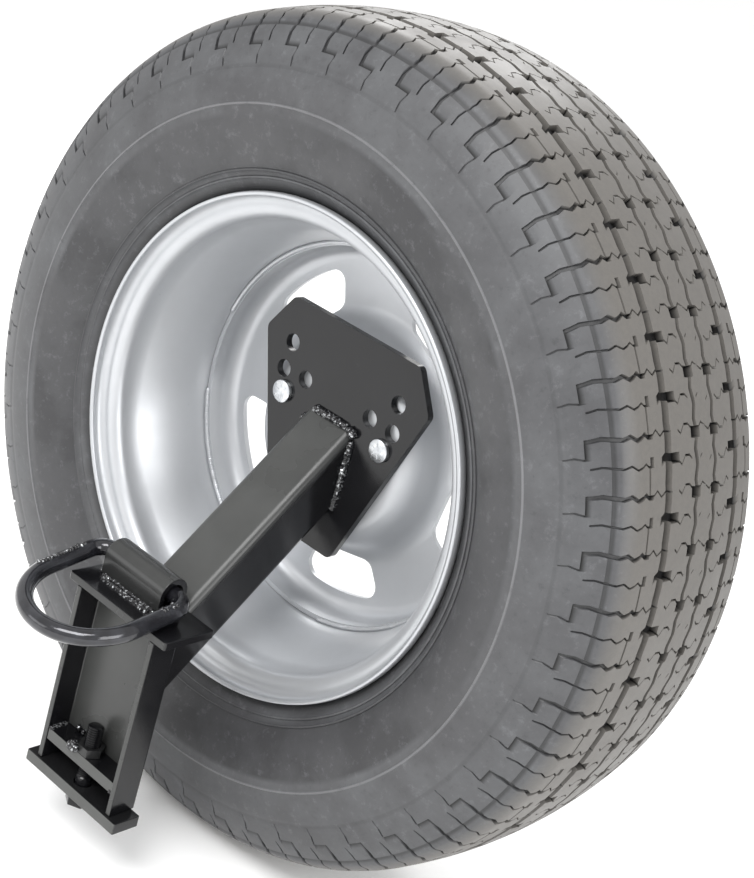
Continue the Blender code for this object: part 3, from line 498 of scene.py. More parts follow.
# Tread columns of one side, in millimetres from the crown: (distance, kind)
# z and Z: edge and bottom of the zigzag groove, t and b: of the main groove, m and M: of the shoulder line
# p, q and k: columns of pockets, l and w: a lengthwise sipe, and the others: plain columns of one rib
TREAD_COLUMNS = (
    (4.6, "c"), (6.6, "i"), (7.2, "p"), (9.6, "z"), (10.2, "Z"), (12.9, "Z"), (13.5, "z"), (16.7, "p"),
    (17.3, "i"), (20.0, "i"), (25.0, "n"), (28.5, "i"), (31.2, "i"), (31.8, "q"), (38.6, "q"), (39.4, "t"),
    (40.4, "b"), (45.2, "b"), (46.2, "t"), (50.0, "f"), (54.0, "f"), (57.2, "f"), (57.8, "k"), (60.2, "k"),
    (60.7, "l"), (61.2, "l"), (61.8, "s"), (64.5, "s"), (67.5, "s"), (71.0, "s"), (75.0, "s"), (79.0, "s"),
    (81.6, "m"), (82.3, "M"), (84.0, "M"), (84.7, "m"), (88.0, "s"), (91.2, "s"), (92.0, "w"), (92.7, "w"),
    (93.4, "v"), (96.0, "v"), (97.6, "v"), (98.1, "e"), (98.6, "E"), (99.2, "E"),
)
# Rows of one pitch, in millimetres round the tread: the cross groove A with its far side W and pocket a,
# up to the cross groove's outer run C, then half a pitch on the thin sipe B with its pocket d before it
PITCH_ROWS = (
    (0.0, "n"), (0.5, "A"), (1.3, "A"), (1.8, "W"), (3.0, "W"), (3.6, "a"), (7.6, "a"), (8.2, "w"),
    (10.5, "w"), (14.0, "w"), (14.5, "C"), (15.3, "C"), (15.8, "d"), (21.0, "d"), (21.5, "B"), (22.3, "B"),
    (22.8, "n"), (26.5, "n"), (31.0, "n"), (36.0, "n"), (41.0, "n"),
)
PITCH_LENGTH = 41.0
# Sideways run of the cross grooves, (distance, shift) in millimetres
CROSS_WAVE = (
    (0.0, 0.0), (4.6, 3.0), (7.2, 0.0), (13.5, 0.0), (17.3, 0.6), (20.0, 3.2), (25.0, 3.2), (28.5, -2.6),
    (31.2, 0.0), (38.6, 0.0), (46.2, 1.0), (50.0, -2.0), (54.0, 2.6), (57.2, -0.6), (61.8, -0.6),
    (64.5, 1.8), (67.5, -0.4), (71.0, -1.8), (75.0, 1.4), (79.0, -0.4), (84.7, 0.8), (88.0, 1.6),
    (91.2, 0.4), (93.4, 0.0), (96.0, 1.4), (99.2, -0.4),
)
SIDE_SHIFT = CROSS_WAVE[-1][1]
CROWN_FALL = 1.37e-3
TREAD_EDGE = 66.65
WIDEST = 256.0
OVAL_POWER = 0.585


def wave(distance):
    for (a, first), (b, second) in zip(CROSS_WAVE, CROSS_WAVE[1:]):
        if a <= distance <= b:
            return first + (second - first) * (distance - a) / (b - a)
    return SIDE_SHIFT


def outside_radius(distance):
    """Radius of the uncut tyre in millimetres: a flat crown, then a squarish oval to the widest point."""
    if distance <= TREAD_EDGE:
        return TYRE_RADIUS / MM - CROWN_FALL * distance ** 2
    shoulder = outside_radius(TREAD_EDGE)
    share = (distance - TREAD_EDGE) / (TYRE_HALF_SECTION / MM - TREAD_EDGE)
    return WIDEST + (shoulder - WIDEST) * max(0.0, 1 - share ** (1 / OVAL_POWER)) ** OVAL_POWER


# Painted shade in the bottoms of wide cuts: how dark they are, where a thin cut is 1
CUT_SHADE = {"b": 0.7, "Z": 1.0, "M": 0.8, "s": 0.75, "m": 0.75, "E": 0.5, "v": 0.7}


def cut_depth(kind, row, groove, sipe):
    """How deep the tread is cut at a column and row, in metres."""
    whole = {"b": groove, "Z": 0.8 * groove, "M": 0.5 * sipe, "E": 0.3 * sipe}.get(kind, 0.0)
    cross = 0.4 * groove
    cuts = {
        "c": {"A": sipe}, "z": {"A": 0.8 * groove, "W": 0.8 * groove, "a": 0.8 * groove},
        "i": {"A": sipe, "B": sipe}, "t": {"A": 0.7 * sipe, "d": 0.3 * groove},
        "p": {"A": 0.8 * groove, "W": 0.8 * groove, "a": 0.8 * groove},
        "q": {"B": 0.8 * groove, "d": 0.8 * groove},
        "f": {"A": sipe},
        "k": {"A": cross, "W": cross, "B": 0.7 * groove, "d": 0.7 * groove},
        "l": {"A": cross, "W": cross, "B": sipe, "n": sipe},
        "s": {"A": cross, "W": cross, "B": 0.8 * sipe},
        "m": {"A": cross, "W": cross, "B": 0.8 * sipe},
        "M": {"A": cross, "W": cross, "B": 0.8 * sipe},
        "w": {"A": 0.8 * sipe, "W": 0.8 * sipe, "a": 0.8 * sipe, "w": 0.8 * sipe, "C": 0.8 * sipe},
        "v": {"C": 0.6 * sipe},
        "e": {"C": 0.6 * sipe},
    }.get(kind, {})
    return max(whole, cuts.get(row, 0.0))


def side_outline():
    """Sidewall from the tread's edge to the bead's toe, (distance, radius) in metres."""
    points = [(d, outside_radius(d)) for d in (99.8, 100.5, 101.2, 102.0, 103.0, 103.7, 104.0)]
    points += [(103.5, 246.0), (102.6, 238.5), (101.0, 231.0), (98.3, 221.5), (95.0, 213.9), (91.6, 207.8),
               (88.2, 202.3), (85.4, 198.2)]
    points = [(d * MM, r * MM) for d, r in points]
    points += reversed(arc((85.7 * MM, 185.0 * MM), 10.1 * MM, 180, 105, 4))
    points += arc((69.7 * MM, 183.7 * MM), 5.9 * MM, 0, -90, 3)
    points.append((57.2 * MM, 177.5 * MM))
    return points


def raised_lines(outline, radii):
    """Put a low moulded line round the sidewall at each radius, (distance, radius) in metres."""
    points = list(outline)
    for radius, height, width in radii:
        for i, (a, b) in enumerate(zip(points, points[1:])):
            if a[1] >= radius > b[1]:
                share = (a[1] - radius) / (a[1] - b[1])
                middle = a[0] + (b[0] - a[0]) * share
                line = [(middle, radius + width), (middle + height, radius + 0.6 * width),
                        (middle + height, radius - 0.6 * width), (middle, radius - width)]
                points[i + 1:i + 1] = line
                break
    return points


class CARRIER_OT_tyre(bpy.types.Operator):
    """Mould the tyre: one pitch of tread with its sidewalls, repeated round the wheel."""

    bl_idname = "carrier.tyre"
    bl_label = "Build Tyre"

    def execute(self, context):
        settings = context.scene.carrier_tyre
        side = raised_lines(side_outline(), ((257.5 * MM, 0.6 * MM, 0.9 * MM), (210 * MM, 0.7 * MM, 0.9 * MM),
                                             (204.5 * MM, 0.8 * MM, 1.0 * MM)))
        inside = [(59 * MM, 187 * MM), (74.7 * MM, 202 * MM), (90 * MM, 222 * MM), (96 * MM, 245 * MM),
                  (96 * MM, 266 * MM), (86 * MM, 292 * MM), (66 * MM, 312 * MM), (40 * MM, 319 * MM)]
        tread = [(-d, kind) for d, kind in reversed(TREAD_COLUMNS)] + [(0.0, "o"), *TREAD_COLUMNS]
        smooth = side + inside
        plain = [(d, r, None) for d, r in smooth] + [(0.0, 320.5 * MM, None)]
        plain += [(-d, r, None) for d, r in reversed(smooth)]
        columns = [(d * MM, None, kind) for d, kind in tread] + plain
        columns.append(columns[0])
        width = len(columns) - 1
        rows = len(PITCH_ROWS) - 1
        bm = bmesh.new()
        bmesh.ops.create_grid(bm, x_segments=width, y_segments=rows, size=1.0)
        if len(bm.verts) != (width + 1) * (rows + 1):
            raise RuntimeError("the tread grid has an unexpected number of points")
        # Painted shade of each point of the tread's cuts
        groove_shade_layer = bm.verts.layers.float.new("depth")
        side_points = set(side)
        turn = 2 * math.pi / settings.pitches
        for vert in bm.verts:
            distance, radius, kind = columns[round((vert.co.x + 1) / 2 * width)]
            run, row = PITCH_ROWS[round((vert.co.y + 1) / 2 * rows)]
            if kind:
                away = abs(distance) / MM
                zigzag = 1.0 - 4 * abs((run / PITCH_LENGTH * 2 + 0.25) % 1.0 - 0.5)
                depth = cut_depth(kind, row, settings.groove, settings.sipe)
                radius = outside_radius(away) * MM - depth
                # Painted shade: darker the deeper the cut, scaled by its kind
                vert[groove_shade_layer] = CUT_SHADE.get(kind, 1.0) * min(1.0, depth / (2 * MM))
                run += wave(away) * (1 if distance > 0 else -1)
                if kind in "zZ":
                    distance += 1.2 * MM * zigzag
                elif kind in "tb":
                    distance += 0.4 * MM * zigzag
            elif (distance, radius) in side_points:
                run += SIDE_SHIFT
            elif (-distance, radius) in side_points:
                run -= SIDE_SHIFT
            angle = run / PITCH_LENGTH * turn
            vert.co = (radius * math.sin(angle), distance, radius * math.cos(angle))
        bmesh.ops.spin(bm, geom=bm.verts[:] + bm.edges[:] + bm.faces[:], cent=(0, 0, 0), axis=(0, 1, 0),
                       angle=turn * (settings.pitches - 1), steps=settings.pitches - 1, use_duplicate=True)
        bmesh.ops.remove_doubles(bm, verts=bm.verts, dist=0.02 * MM)
        bmesh.ops.translate(bm, vec=WHEEL, verts=bm.verts)
        piece("tyre_moulded", bm, tyre_rubber(settings), "spare_wheel", ["tyre"], smooth=32.0)
        return {"FINISHED"}


# ---------------------------------------------------------------- wheel


def flange_outline():
    """Tyre side of one rim flange and bead seat, tip first, (height, radius) in metres."""
    points = arc((85.7 * MM, 185.0 * MM), 9.5 * MM, 62, 180, 10)
    points += arc((69.7 * MM, 183.7 * MM), 6.5 * MM, 0, -90, 5)
    points += [(55.2 * MM, 175.9 * MM), (52.7 * MM, 173.4 * MM)]
    return points


def hand_hole(angle):
    """Window outline between two spokes, in the wheel's own plane."""
    inner, outer, corner = 103.0 * MM, 134.5 * MM, 11.0 * MM
    wide, narrow = math.radians(18.0), math.radians(16.2)
    corners = [(outer, -wide, corner)]
    corners += [(outer, wide * share, 0) for share in (-0.6, -0.4, -0.2, 0, 0.2, 0.4, 0.6)]
    corners += [(outer, wide, corner), (inner, narrow, corner), (inner, -narrow, corner)]
    corners = [(r * math.cos(angle + t), r * math.sin(angle + t), c) for r, t, c in corners]
    points = []
    for i, (x, y, radius) in enumerate(corners):
        here = Vector((x, y))
        if not radius:
            points.append((x, y))
            continue
        before = (Vector(corners[i - 1][:2]) - here).normalized()
        after = (Vector(corners[(i + 1) % len(corners)][:2]) - here).normalized()
        half = before.angle(after) / 2
        centre = here + (before + after).normalized() * radius / math.sin(half)
        start = here + before * radius / math.tan(half) - centre
        sweep = math.degrees(math.pi - 2 * half) * (1 if before.cross(after) < 0 else -1)
        first = math.degrees(math.atan2(start.y, start.x))
        points += arc(centre, radius, first, first + sweep, 7)
    return points


def prism(outline, low, high, place=WHEEL_PLACE):
    """Straight-sided solid over an outline."""
    bm = bmesh.new()
    face = bm.faces.new([bm.verts.new((x, y, low)) for x, y in outline])
    top = bmesh.ops.extrude_face_region(bm, geom=[face])["geom"]
    lifted = [g for g in top if isinstance(g, bmesh.types.BMVert)]
    bmesh.ops.translate(bm, vec=(0, 0, high - low), verts=lifted)
    bmesh.ops.recalc_face_normals(bm, faces=bm.faces)
    bmesh.ops.transform(bm, matrix=place, verts=bm.verts)
    return bm


def cut(bm, cutters):
    """Difference of a closed bmesh and closed cutters, by Blender's exact solver."""
    objects = []
    for source in (bm, *cutters):
        mesh = bpy.data.meshes.new("cut")
        source.to_mesh(mesh)
        source.free()
        obj = bpy.data.objects.new("cut", mesh)
        bpy.context.scene.collection.objects.link(obj)
        objects.append(obj)
    for other in objects[1:]:
        boolean = objects[0].modifiers.new("cut", "BOOLEAN")
        boolean.object = other
        boolean.solver = "EXACT"
    bpy.context.view_layer.update()
    result = bmesh.new()
    result.from_object(objects[0], bpy.context.evaluated_depsgraph_get())
    for obj in objects:
        bpy.data.objects.remove(obj)
    return result


class CARRIER_OT_wheel(bpy.types.Operator):
    """Roll the rim, press the disc with its hand holes, and weld the two together."""

    bl_idname = "carrier.wheel"
    bl_label = "Build Wheel"

    def execute(self, context):
        settings = context.scene.carrier_wheel
        paint = silver_enamel(settings.colour)
        outer = flange_outline()
        well = [(36.0 * MM, 161.0 * MM), (33.0 * MM, 159.0 * MM),
                (-5.0 * MM, 159.0 * MM), (-9.0 * MM, 160.2 * MM)]
        outside = outer + well + [(-h, r) for h, r in reversed(outer)]
        bm = spun([(r, h) for h, r in outside], settings.steps)
        bmesh.ops.recalc_face_normals(bm, faces=bm.faces)
        self.face_out(bm, lambda p: (p - WHEEL) * Vector((1, 0, 1)))
        rim = piece("rim_rolled", bm, paint, "spare_wheel", ["rim_barrel"], recalculate=False)
        self.wall(rim, settings.rim_wall)

        rise, skirt = 29.5 * MM, 151.7 * MM
        face = -7.3 * MM
        profile = [(skirt, 6.0 * MM)] + arc((skirt - 12 * MM, rise - 12 * MM), 12 * MM, 0, 90, 7)
        profile += [(132.5 * MM, rise), (105 * MM, rise - 1.5 * MM), (100 * MM, rise - 2.9 * MM),
                    (95 * MM, rise - 6 * MM), (90 * MM, rise - 11.5 * MM), (85 * MM, face + 12.4 * MM),
                    (80 * MM, face + 7 * MM), (75.5 * MM, face + 3 * MM), (70.5 * MM, face + 0.5 * MM),
                    (66 * MM, face), (42 * MM, face)]
        shifts = self.offsets(profile, settings.disc_wall)
        back = [(r + right, h + up) for (r, h), (right, up) in zip(profile, shifts)]
        disc = spun(profile + back[::-1], settings.steps, closed=True)
        bmesh.ops.recalc_face_normals(disc, faces=disc.faces)
        cutters = []
        for i in range(5):
            cutters.append(prism(hand_hole(-math.radians(64 + 72 * i)), -60 * MM, 90 * MM))
            angle = -math.radians(18 + 72 * i)
            spot = Matrix.Translation((57.15 * MM * math.cos(angle), 57.15 * MM * math.sin(angle), face))
            cone = [(0, -4 * MM), (7.7 * MM, -4 * MM), (7.7 * MM, 0), (12.1 * MM, 8 * MM), (0, 8 * MM)]
            cutters.append(spun(cone, 28, place=WHEEL_PLACE @ spot))
        for cutter in cutters:
            bmesh.ops.recalc_face_normals(cutter, faces=cutter.faces)
        disc = cut(disc, cutters)
        piece("disc_pressed", disc, paint, "spare_wheel", ["wheel_disc"], recalculate=False)

        # Four runs of weld hold the disc's skirt in the rim's well
        rng = random.Random(5)
        seam = bmesh.new()
        for start in (10, 100, 190, 280):
            ring = [(154.4 * MM * math.cos(math.radians(start + a)), 5.2 * MM,
                     154.4 * MM * math.sin(math.radians(start + a))) for a in range(0, 66, 3)]
            merge(seam, bead([WHEEL + Vector(p) for p in ring], 1.9 * MM, rng))
        piece("rim_disc_weld", seam, paint, "spare_wheel")
        return {"FINISHED"}

    @staticmethod
    def face_out(bm, direction):
        """Turn the open sheet so that its first face looks along the direction at its middle."""
        bm.faces.ensure_lookup_table()
        first = bm.faces[0]
        if first.normal.dot(direction(first.calc_center_median())) < 0:
            bmesh.ops.reverse_faces(bm, faces=bm.faces)

    @staticmethod
    def wall(obj, thickness):
        solid = obj.modifiers.new("wall", "SOLIDIFY")
        solid.thickness = thickness
        solid.offset = -1.0
        solid.use_even_offset = True

    @staticmethod
    def offsets(profile, wall):
        """Shift of each profile point to the back of a sheet of that wall."""
        shifts = []
        for i, (r, h) in enumerate(profile):
            before = profile[max(0, i - 1)]
            after = profile[min(len(profile) - 1, i + 1)]
            along = Vector((after[0] - before[0], after[1] - before[1])).normalized()
            shifts.append((-along.y * -wall, -along.x * wall))
        return shifts


# ---------------------------------------------------------------- steelwork


class CARRIER_OT_steel(bpy.types.Operator):
    """Round the edges of the sawn and sheared steel pieces and enamel them."""

    bl_idname = "carrier.steel"
    bl_label = "Build Steelwork"

    def execute(self, context):
        settings = context.scene.carrier_steel
        paint = enamelled_steel(settings.colour)
        bodies = {"clamp_bar": "clamp_bar"}
        for node in ("mounting_plate", "arm_tube", "stub_channel", "cap_plate", "shelf_plate", "ring_clip",
                     "clamp_bar", "shelf_nut"):
            edge = min(settings.edge, 0.5 * MM) if node == "shelf_nut" else settings.edge
            weighted(piece(node + "_enamelled", softened(node, edge), paint, bodies.get(node, "carrier"),
                           [node]))
        return {"FINISHED"}


class CARRIER_OT_ring(bpy.types.Operator):
    """Bend the tie-down ring from round bar, with the scale lumps of its forging."""

    bl_idname = "carrier.ring"
    bl_label = "Build Ring"

    def execute(self, context):
        settings = context.scene.carrier_ring
        leg = settings.depth - settings.half_width
        bend = settings.half_width - settings.corner
        outline = arc((0, leg), settings.half_width, 180, 0, 40)
        outline += [(settings.half_width, leg * share) for share in (0.85, 0.7, 0.55, 0.4)]
        outline += arc((bend, settings.corner), settings.corner, 0, -90, 12)
        outline += arc((-bend, settings.corner), settings.corner, -90, -180, 12)
        outline += [(-settings.half_width, leg * share) for share in (0.4, 0.55, 0.7, 0.85)]
        away = Vector((0, -math.cos(settings.droop), -math.sin(settings.droop)))
        start = Vector(((CLIP_LOW.x + CLIP_HIGH.x) / 2, (CLIP_LOW.y + CLIP_HIGH.y) / 2, 20.65 * MM))
        path = [start + Vector((x, 0, 0)) + away * out for x, out in outline]
        rng = random.Random(11)
        material = forged_ring("1E1E22")
        bm = tube(path, settings.wire, True, 24)
        piece("ring_forged", bm, material, "tie_ring", ["d_ring"])
        lumps = bmesh.new()
        top = Vector((0, -math.sin(settings.droop), math.cos(settings.droop)))
        for i in range(16):
            share = i / 15
            place = start + Vector((-settings.half_width + rng.uniform(-1, 1) * MM, 0, 0))
            place += away * (0.2 + 0.42 * share) * settings.depth + top * settings.wire
            merge(lumps, blob(place, rng.uniform(1.5, 2.1) * MM, rng))
        for _ in range(7):
            place = start + Vector((settings.half_width + rng.uniform(-3, 3) * MM, 0, 0))
            place += away * rng.uniform(0.12, 0.24) * settings.depth + top * (settings.wire - 0.5 * MM)
            merge(lumps, blob(place, rng.uniform(1.2, 1.9) * MM, rng))
        piece("ring_lumps", lumps, enamelled_weld("1A1A1C"), "tie_ring")
        return {"FINISHED"}


class CARRIER_OT_welds(bpy.types.Operator):
    """Lay the weld beads that join the arm, the plates, the clip, the shelf and the stub."""

    bl_idname = "carrier.welds"
    bl_label = "Build Welds"

    def execute(self, context):
        settings = context.scene.carrier_steel
        material = enamelled_weld(settings.weld_colour)
        rng = random.Random(settings.weld_seed)
        half, top = ARM_HIGH.x, ARM_HIGH.z
        face = PLATE_LOW.y - 1.0 * MM
        round_x = half - 6.5 * MM
        low = 71.0 * MM
        side = half + 0.4 * MM
        back = STUB_HIGH.y + 0.8 * MM
        clip_left, clip_right = CLIP_LOW.x + 4 * MM, CLIP_HIGH.x - 2 * MM
        seams = {
            "plate_weld": (3.6 * MM, [
                [(-round_x, face, top + 0.5 * MM), (round_x, face, top + 0.5 * MM)],
                [(side, face, top - 8 * MM), (side, face, low)],
                [(-side, face, top - 8 * MM), (-side, face, low)],
                [(-round_x, face, 67.5 * MM), (round_x, face, 67.5 * MM)],
            ]),
            "arm_weld": (2.6 * MM, [
                [(side, back, -20 * MM), (side, back, -80 * MM)],
                [(-side, back, -20 * MM), (-side, back, -80 * MM)],
                [(-round_x, CAP_HIGH.y + 0.6 * MM, CAP_HIGH.z - 0.5 * MM),
                 (round_x, CAP_HIGH.y + 0.6 * MM, CAP_HIGH.z - 0.5 * MM)],
            ]),
            "clip_weld": (2.4 * MM, [
                [(clip_left, CLIP_LOW.y - 1.0 * MM, CAP_HIGH.z + 0.6 * MM),
                 (clip_right, CLIP_LOW.y - 1.0 * MM, CAP_HIGH.z + 0.6 * MM)],
                [(CLIP_LOW.x + 6 * MM, CLIP_LOW.y - 5.2 * MM, CAP_HIGH.z + 0.2 * MM),
                 (CLIP_HIGH.x - 4 * MM, CLIP_LOW.y - 5.2 * MM, CAP_HIGH.z + 0.2 * MM)],
                [(clip_left, CLIP_HIGH.y - 0.4 * MM, CAP_HIGH.z + 0.9 * MM),
                 (clip_right, CLIP_HIGH.y - 0.4 * MM, CAP_HIGH.z + 0.9 * MM)],
            ]),
            "stub_weld": (2.0 * MM, [
                [(STUB_HIGH.x + 0.5 * MM, -10 * MM, -0.9 * MM), (STUB_HIGH.x + 0.5 * MM, 11 * MM, -0.9 * MM)],
                [(STUB_LOW.x - 0.5 * MM, -10 * MM, -0.9 * MM), (STUB_LOW.x - 0.5 * MM, 11 * MM, -0.9 * MM)],
            ]),
            "shelf_weld": (2.2 * MM, [
                [(SHELF_LOW.x + 0.4 * MM, SHELF_LOW.y + 3 * MM, SHELF_HIGH.z),
                 (SHELF_LOW.x + 0.4 * MM, SHELF_HIGH.y - 2 * MM, SHELF_HIGH.z)],
                [(SHELF_HIGH.x - 0.4 * MM, SHELF_LOW.y + 3 * MM, SHELF_HIGH.z),
                 (SHELF_HIGH.x - 0.4 * MM, SHELF_HIGH.y - 2 * MM, SHELF_HIGH.z)],
            ]),
        }
        for name, (radius, paths) in seams.items():
            bm = bmesh.new()
            for path in paths:
                merge(bm, bead([Vector(p) for p in path], radius, rng))
            piece(name, bm, material, "carrier")
        lumps = bmesh.new()
        # Middle of each lump, and its radius in millimetres
        spots = [((half + 0.5 * MM, face - 1.5 * MM, top - 1.5 * MM), 4.2),
                 ((half - 3 * MM, face - MM, top), 3.4),
                 ((-11 * MM, NUT_LOW.y - 0.5 * MM, SHELF_HIGH.z + 2.5 * MM), 4.4),
                 ((-6.5 * MM, NUT_LOW.y - 1.5 * MM, SHELF_HIGH.z + 3 * MM), 3.8),
                 ((-9 * MM, NUT_LOW.y - 1.0 * MM, SHELF_HIGH.z + 6 * MM), 2.8),
                 ((-13 * MM, NUT_LOW.y + 2 * MM, SHELF_HIGH.z + MM), 2.6),
                 ((-26 * MM, SHELF_HIGH.y - MM, SHELF_HIGH.z + 3 * MM), 3.0),
                 ((-21 * MM, SHELF_HIGH.y - 0.5 * MM, SHELF_HIGH.z + 2.5 * MM), 2.4),
                 ((SHELF_LOW.x + 1.5 * MM, SHELF_LOW.y + 1.5 * MM, SHELF_HIGH.z + 0.4 * MM), 2.2),
                 ((SHELF_HIGH.x - 1.5 * MM, SHELF_LOW.y + 1.5 * MM, SHELF_LOW.z + MM), 2.4),
                 ((CLIP_HIGH.x + 0.5 * MM, CLIP_HIGH.y - 2 * MM, CAP_HIGH.z + 0.6 * MM), 2.0),
                 ((CLIP_HIGH.x + 0.8 * MM, CLIP_LOW.y + 2 * MM, CAP_HIGH.z + 0.6 * MM), 2.2),
                 ((CLIP_LOW.x - 0.5 * MM, CLIP_LOW.y + 2 * MM, CAP_HIGH.z + 0.6 * MM), 2.6)]
        for centre, radius in spots:
            merge(lumps, blob(Vector(centre), radius * MM, rng))
        piece("weld_lumps", lumps, material, "carrier")
        return {"FINISHED"}


# ---------------------------------------------------------------- fasteners


def hexagon(across, low, high, place, chamfer):
    """Hexagonal bar with its outer corners turned off at both ends."""
    bm = bmesh.new()
    radius = across / math.sqrt(3)
    middle = Matrix.Translation((0, 0, (low + high) / 2))
    bmesh.ops.create_cone(bm, cap_ends=True, segments=6, radius1=radius, radius2=radius,
                          depth=high - low, matrix=place @ middle)
    bmesh.ops.bevel(bm, geom=bm.edges[:], offset=chamfer, offset_type="OFFSET", affect="EDGES",
                    segments=2, profile=0.5, material=-1)
    return bm


class CARRIER_OT_fasteners(bpy.types.Operator):
    """Make the studs, their lug nuts and the clamp bolt with real threads."""

    bl_idname = "carrier.fasteners"
    bl_label = "Build Fasteners"

    def execute(self, context):
        settings = context.scene.carrier_fasteners
        zinc = zinc_plate(settings.zinc_colour)
        along = Matrix.Rotation(-math.pi / 2, 4, "X")
        for side in ("left", "right"):
            low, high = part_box("wheel_stud_" + side)
            x, z = (low.x + high.x) / 2, (low.z + high.z) / 2
            face = PLATE_LOW.y - 0.3 * MM
            place = Matrix.Translation((x, face, z)) @ along
            head = [(0, 0), (9.4, 0), (9.4, -2.3), (9.1, -3.0), (8.3, -3.4), (0, -3.4)]
            bm = spun([(r * MM, h * MM) for r, h in head], 32, place=place)
            shank = [(0, -1.0), (6.35, -1.0), (6.35, 7.0), (5.5, 7.8), (0, 7.8)]
            merge(bm, spun([(r * MM, h * MM) for r, h in shank], 24, place=place))
            reach = high.y - face - 6.5 * MM
            run_out = place @ Matrix.Translation((0, 0, 6.5 * MM))
            merge(bm, threaded(6.3 * MM, settings.stud_pitch, reach, run_out))
            self.grade_marks(bm, place)
            piece("stud_" + side, bm, zinc, "carrier", ["wheel_stud_" + side])
            nut = softened("lug_nut_" + side, 0.5 * MM)
            weighted(piece("lug_nut_turned_" + side, nut, zinc, "lug_nut_" + side,
                           ["lug_nut_" + side]))

        paint = bpy.data.materials["black_enamel_on_hot_rolled_steel"]
        place = Matrix.Translation((BOLT_X, BOLT_Y, BOLT_LOW.z))
        bm = hexagon(19.05 * MM, 0, 8.1 * MM, place, 0.5 * MM)
        reach = BOLT_HIGH.z - BOLT_LOW.z
        plain = [(0, 6.0 * MM), (6.35 * MM, 6.0 * MM), (6.35 * MM, 24 * MM),
                 (5.4 * MM, 25 * MM), (0, 25 * MM)]
        merge(bm, spun(plain, 24, place=place))
        merge(bm, threaded(6.3 * MM, settings.bolt_pitch, reach - 23.5 * MM,
                           place @ Matrix.Translation((0, 0, 23.5 * MM))))
        piece("clamp_bolt_threaded", bm, paint, "clamp_bolt", ["clamp_bolt"])
        return {"FINISHED"}

    @staticmethod
    def grade_marks(bm, place):
        """Six plain raised bars on a stud's head."""
        for i in range(6):
            turn = Matrix.Rotation(math.radians(60 * i + 12), 4, "Z")
            bar = bmesh.new()
            shape = Matrix.Diagonal((3.4 * MM, 0.7 * MM, 0.7 * MM, 1))
            bmesh.ops.create_cube(bar, size=1.0, matrix=shape)
            out = Matrix.Translation((4.6 * MM, 0, -3.4 * MM))
            bmesh.ops.transform(bar, matrix=place @ turn @ out, verts=bar.verts)
            merge(bm, bar)


class CARRIER_OT_valve(bpy.types.Operator):
    """Finish the valve's stem, barrel and cap."""

    bl_idname = "carrier.valve"
    bl_label = "Build Valve"

    def execute(self, context):
        settings = context.scene.carrier_fasteners
        finishes = {
            "valve_stem": moulded("moulded_valve_rubber", settings.rubber_colour, 0.8 * MM, 0.55),
            "valve_cap": moulded("moulded_cap_plastic", "202021", 0.6 * MM, 0.42),
            "valve_barrel": turned_brass(settings.brass_colour),
        }
        for node, material in finishes.items():
            bm = softened(node, 0.35 * MM, 30.0)
            body = "valve_cap" if node == "valve_cap" else "spare_wheel"
            weighted(piece(node + "_finished", bm, material, body, [node]))
        return {"FINISHED"}


# ---------------------------------------------------------------- stage


def softbox(name, location, target, size, power):
    data = bpy.data.lights.new(name, "AREA")
    data.shape = "RECTANGLE"
    data.size, data.size_y = size
    data.energy = power
    obj = bpy.data.objects.new(name, data)
    obj.location = location
    obj.rotation_euler = (Vector(target) - Vector(location)).to_track_quat("-Z", "Y").to_euler()
    bpy.context.scene.collection.objects.link(obj)


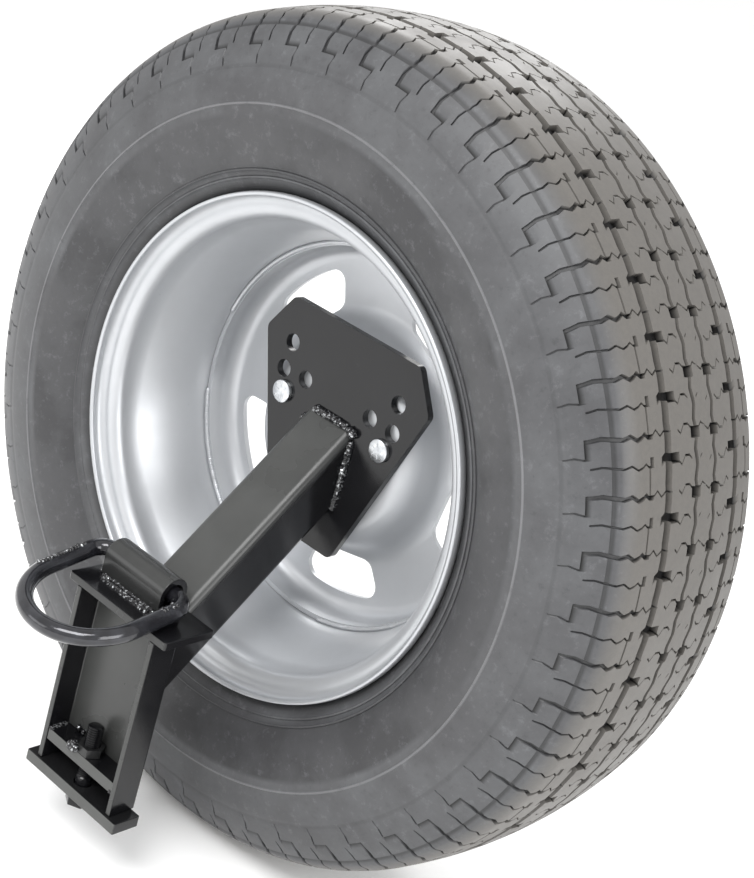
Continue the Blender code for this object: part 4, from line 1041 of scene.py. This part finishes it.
class CARRIER_OT_stage(bpy.types.Operator):
    """Lay the pale floor, hang the softboxes and set up the camera."""

    bl_idname = "carrier.stage"
    bl_label = "Build Stage"

    def execute(self, context):
        settings = context.scene.carrier_stage
        material, tree, shader, place = new_material("matt_white_floor", Roughness=0.9)
        tone = mix(tree, noise(tree, place, 0.4), linear(settings.floor_colour), linear("FDFDFD"))
        tree.links.new(tone, shader.inputs["Base Color"])
        bm = bmesh.new()
        bmesh.ops.create_grid(bm, x_segments=1, y_segments=1, size=12.0)
        bmesh.ops.translate(bm, vec=(0, 0, TYRE_LOW.z - 0.5 * MM), verts=bm.verts)
        mesh = bpy.data.meshes.new("floor")
        bm.to_mesh(mesh)
        bm.free()
        mesh.materials.append(material)
        floor = bpy.data.objects.new("floor", mesh)
        context.scene.collection.objects.link(floor)

        middle = (0.0, 0.12, 0.1)
        softbox("key_softbox", (0.2, -1.6, 2.2), middle, (1.6, 1.2), 60)
        softbox("side_softbox", (2.2, -0.6, 0.9), middle, (1.2, 1.4), 26)
        softbox("front_softbox", (-1.1, -1.9, 0.5), middle, (1.2, 0.8), 6)
        softbox("back_softbox", (-1.2, 1.8, 1.6), middle, (1.4, 1.2), 26)
        world = context.scene.world or bpy.data.worlds.new("studio")
        context.scene.world = world
        world.use_nodes = True
        backdrop = world.node_tree.nodes["Background"]
        backdrop.inputs["Color"].default_value = (1, 1, 1, 1)
        backdrop.inputs["Strength"].default_value = 1.0
        context.scene.view_settings.view_transform = "Standard"

        data = bpy.data.cameras.new("camera")
        data.lens = settings.lens
        data.sensor_width = 36.0
        camera = bpy.data.objects.new("camera", data)
        camera.location = settings.camera
        camera.rotation_euler = Euler(settings.turn)
        context.scene.collection.objects.link(camera)
        context.scene.camera = camera
        return {"FINISHED"}


class CARRIER_PT_panel(bpy.types.Panel):
    """Buttons and settings of the spare tyre carrier."""

    bl_label = "Spare Tyre Carrier"
    bl_idname = "CARRIER_PT_panel"
    bl_space_type = "VIEW_3D"
    bl_region_type = "UI"
    bl_category = "Carrier"

    def draw(self, context):
        for name in SETTINGS:
            group = getattr(context.scene, name)
            box = self.layout.box()
            for key in group.__annotations__:
                box.prop(group, key)
        for operator in OPERATORS:
            self.layout.operator(operator.bl_idname)


SETTINGS = {
    "carrier_tyre": CarrierTyreSettings,
    "carrier_wheel": CarrierWheelSettings,
    "carrier_steel": CarrierSteelSettings,
    "carrier_ring": CarrierRingSettings,
    "carrier_fasteners": CarrierFastenerSettings,
    "carrier_stage": CarrierStageSettings,
}
OPERATORS = (CARRIER_OT_tyre, CARRIER_OT_wheel, CARRIER_OT_steel, CARRIER_OT_ring, CARRIER_OT_welds,
             CARRIER_OT_fasteners, CARRIER_OT_valve, CARRIER_OT_stage)


def register():
    for cls in (*SETTINGS.values(), *OPERATORS, CARRIER_PT_panel):
        bpy.utils.register_class(cls)
    for name, cls in SETTINGS.items():
        setattr(bpy.types.Scene, name, PointerProperty(type=cls))


def unregister():
    for name in SETTINGS:
        delattr(bpy.types.Scene, name)
    for cls in reversed((*SETTINGS.values(), *OPERATORS, CARRIER_PT_panel)):
        bpy.utils.unregister_class(cls)


def main():
    register()
    bpy.ops.carrier.tyre()
    bpy.ops.carrier.wheel()
    bpy.ops.carrier.steel()
    bpy.ops.carrier.ring()
    bpy.ops.carrier.welds()
    bpy.ops.carrier.fasteners()
    bpy.ops.carrier.valve()
    bpy.ops.carrier.stage()


if __name__ == "__main__":
    main()
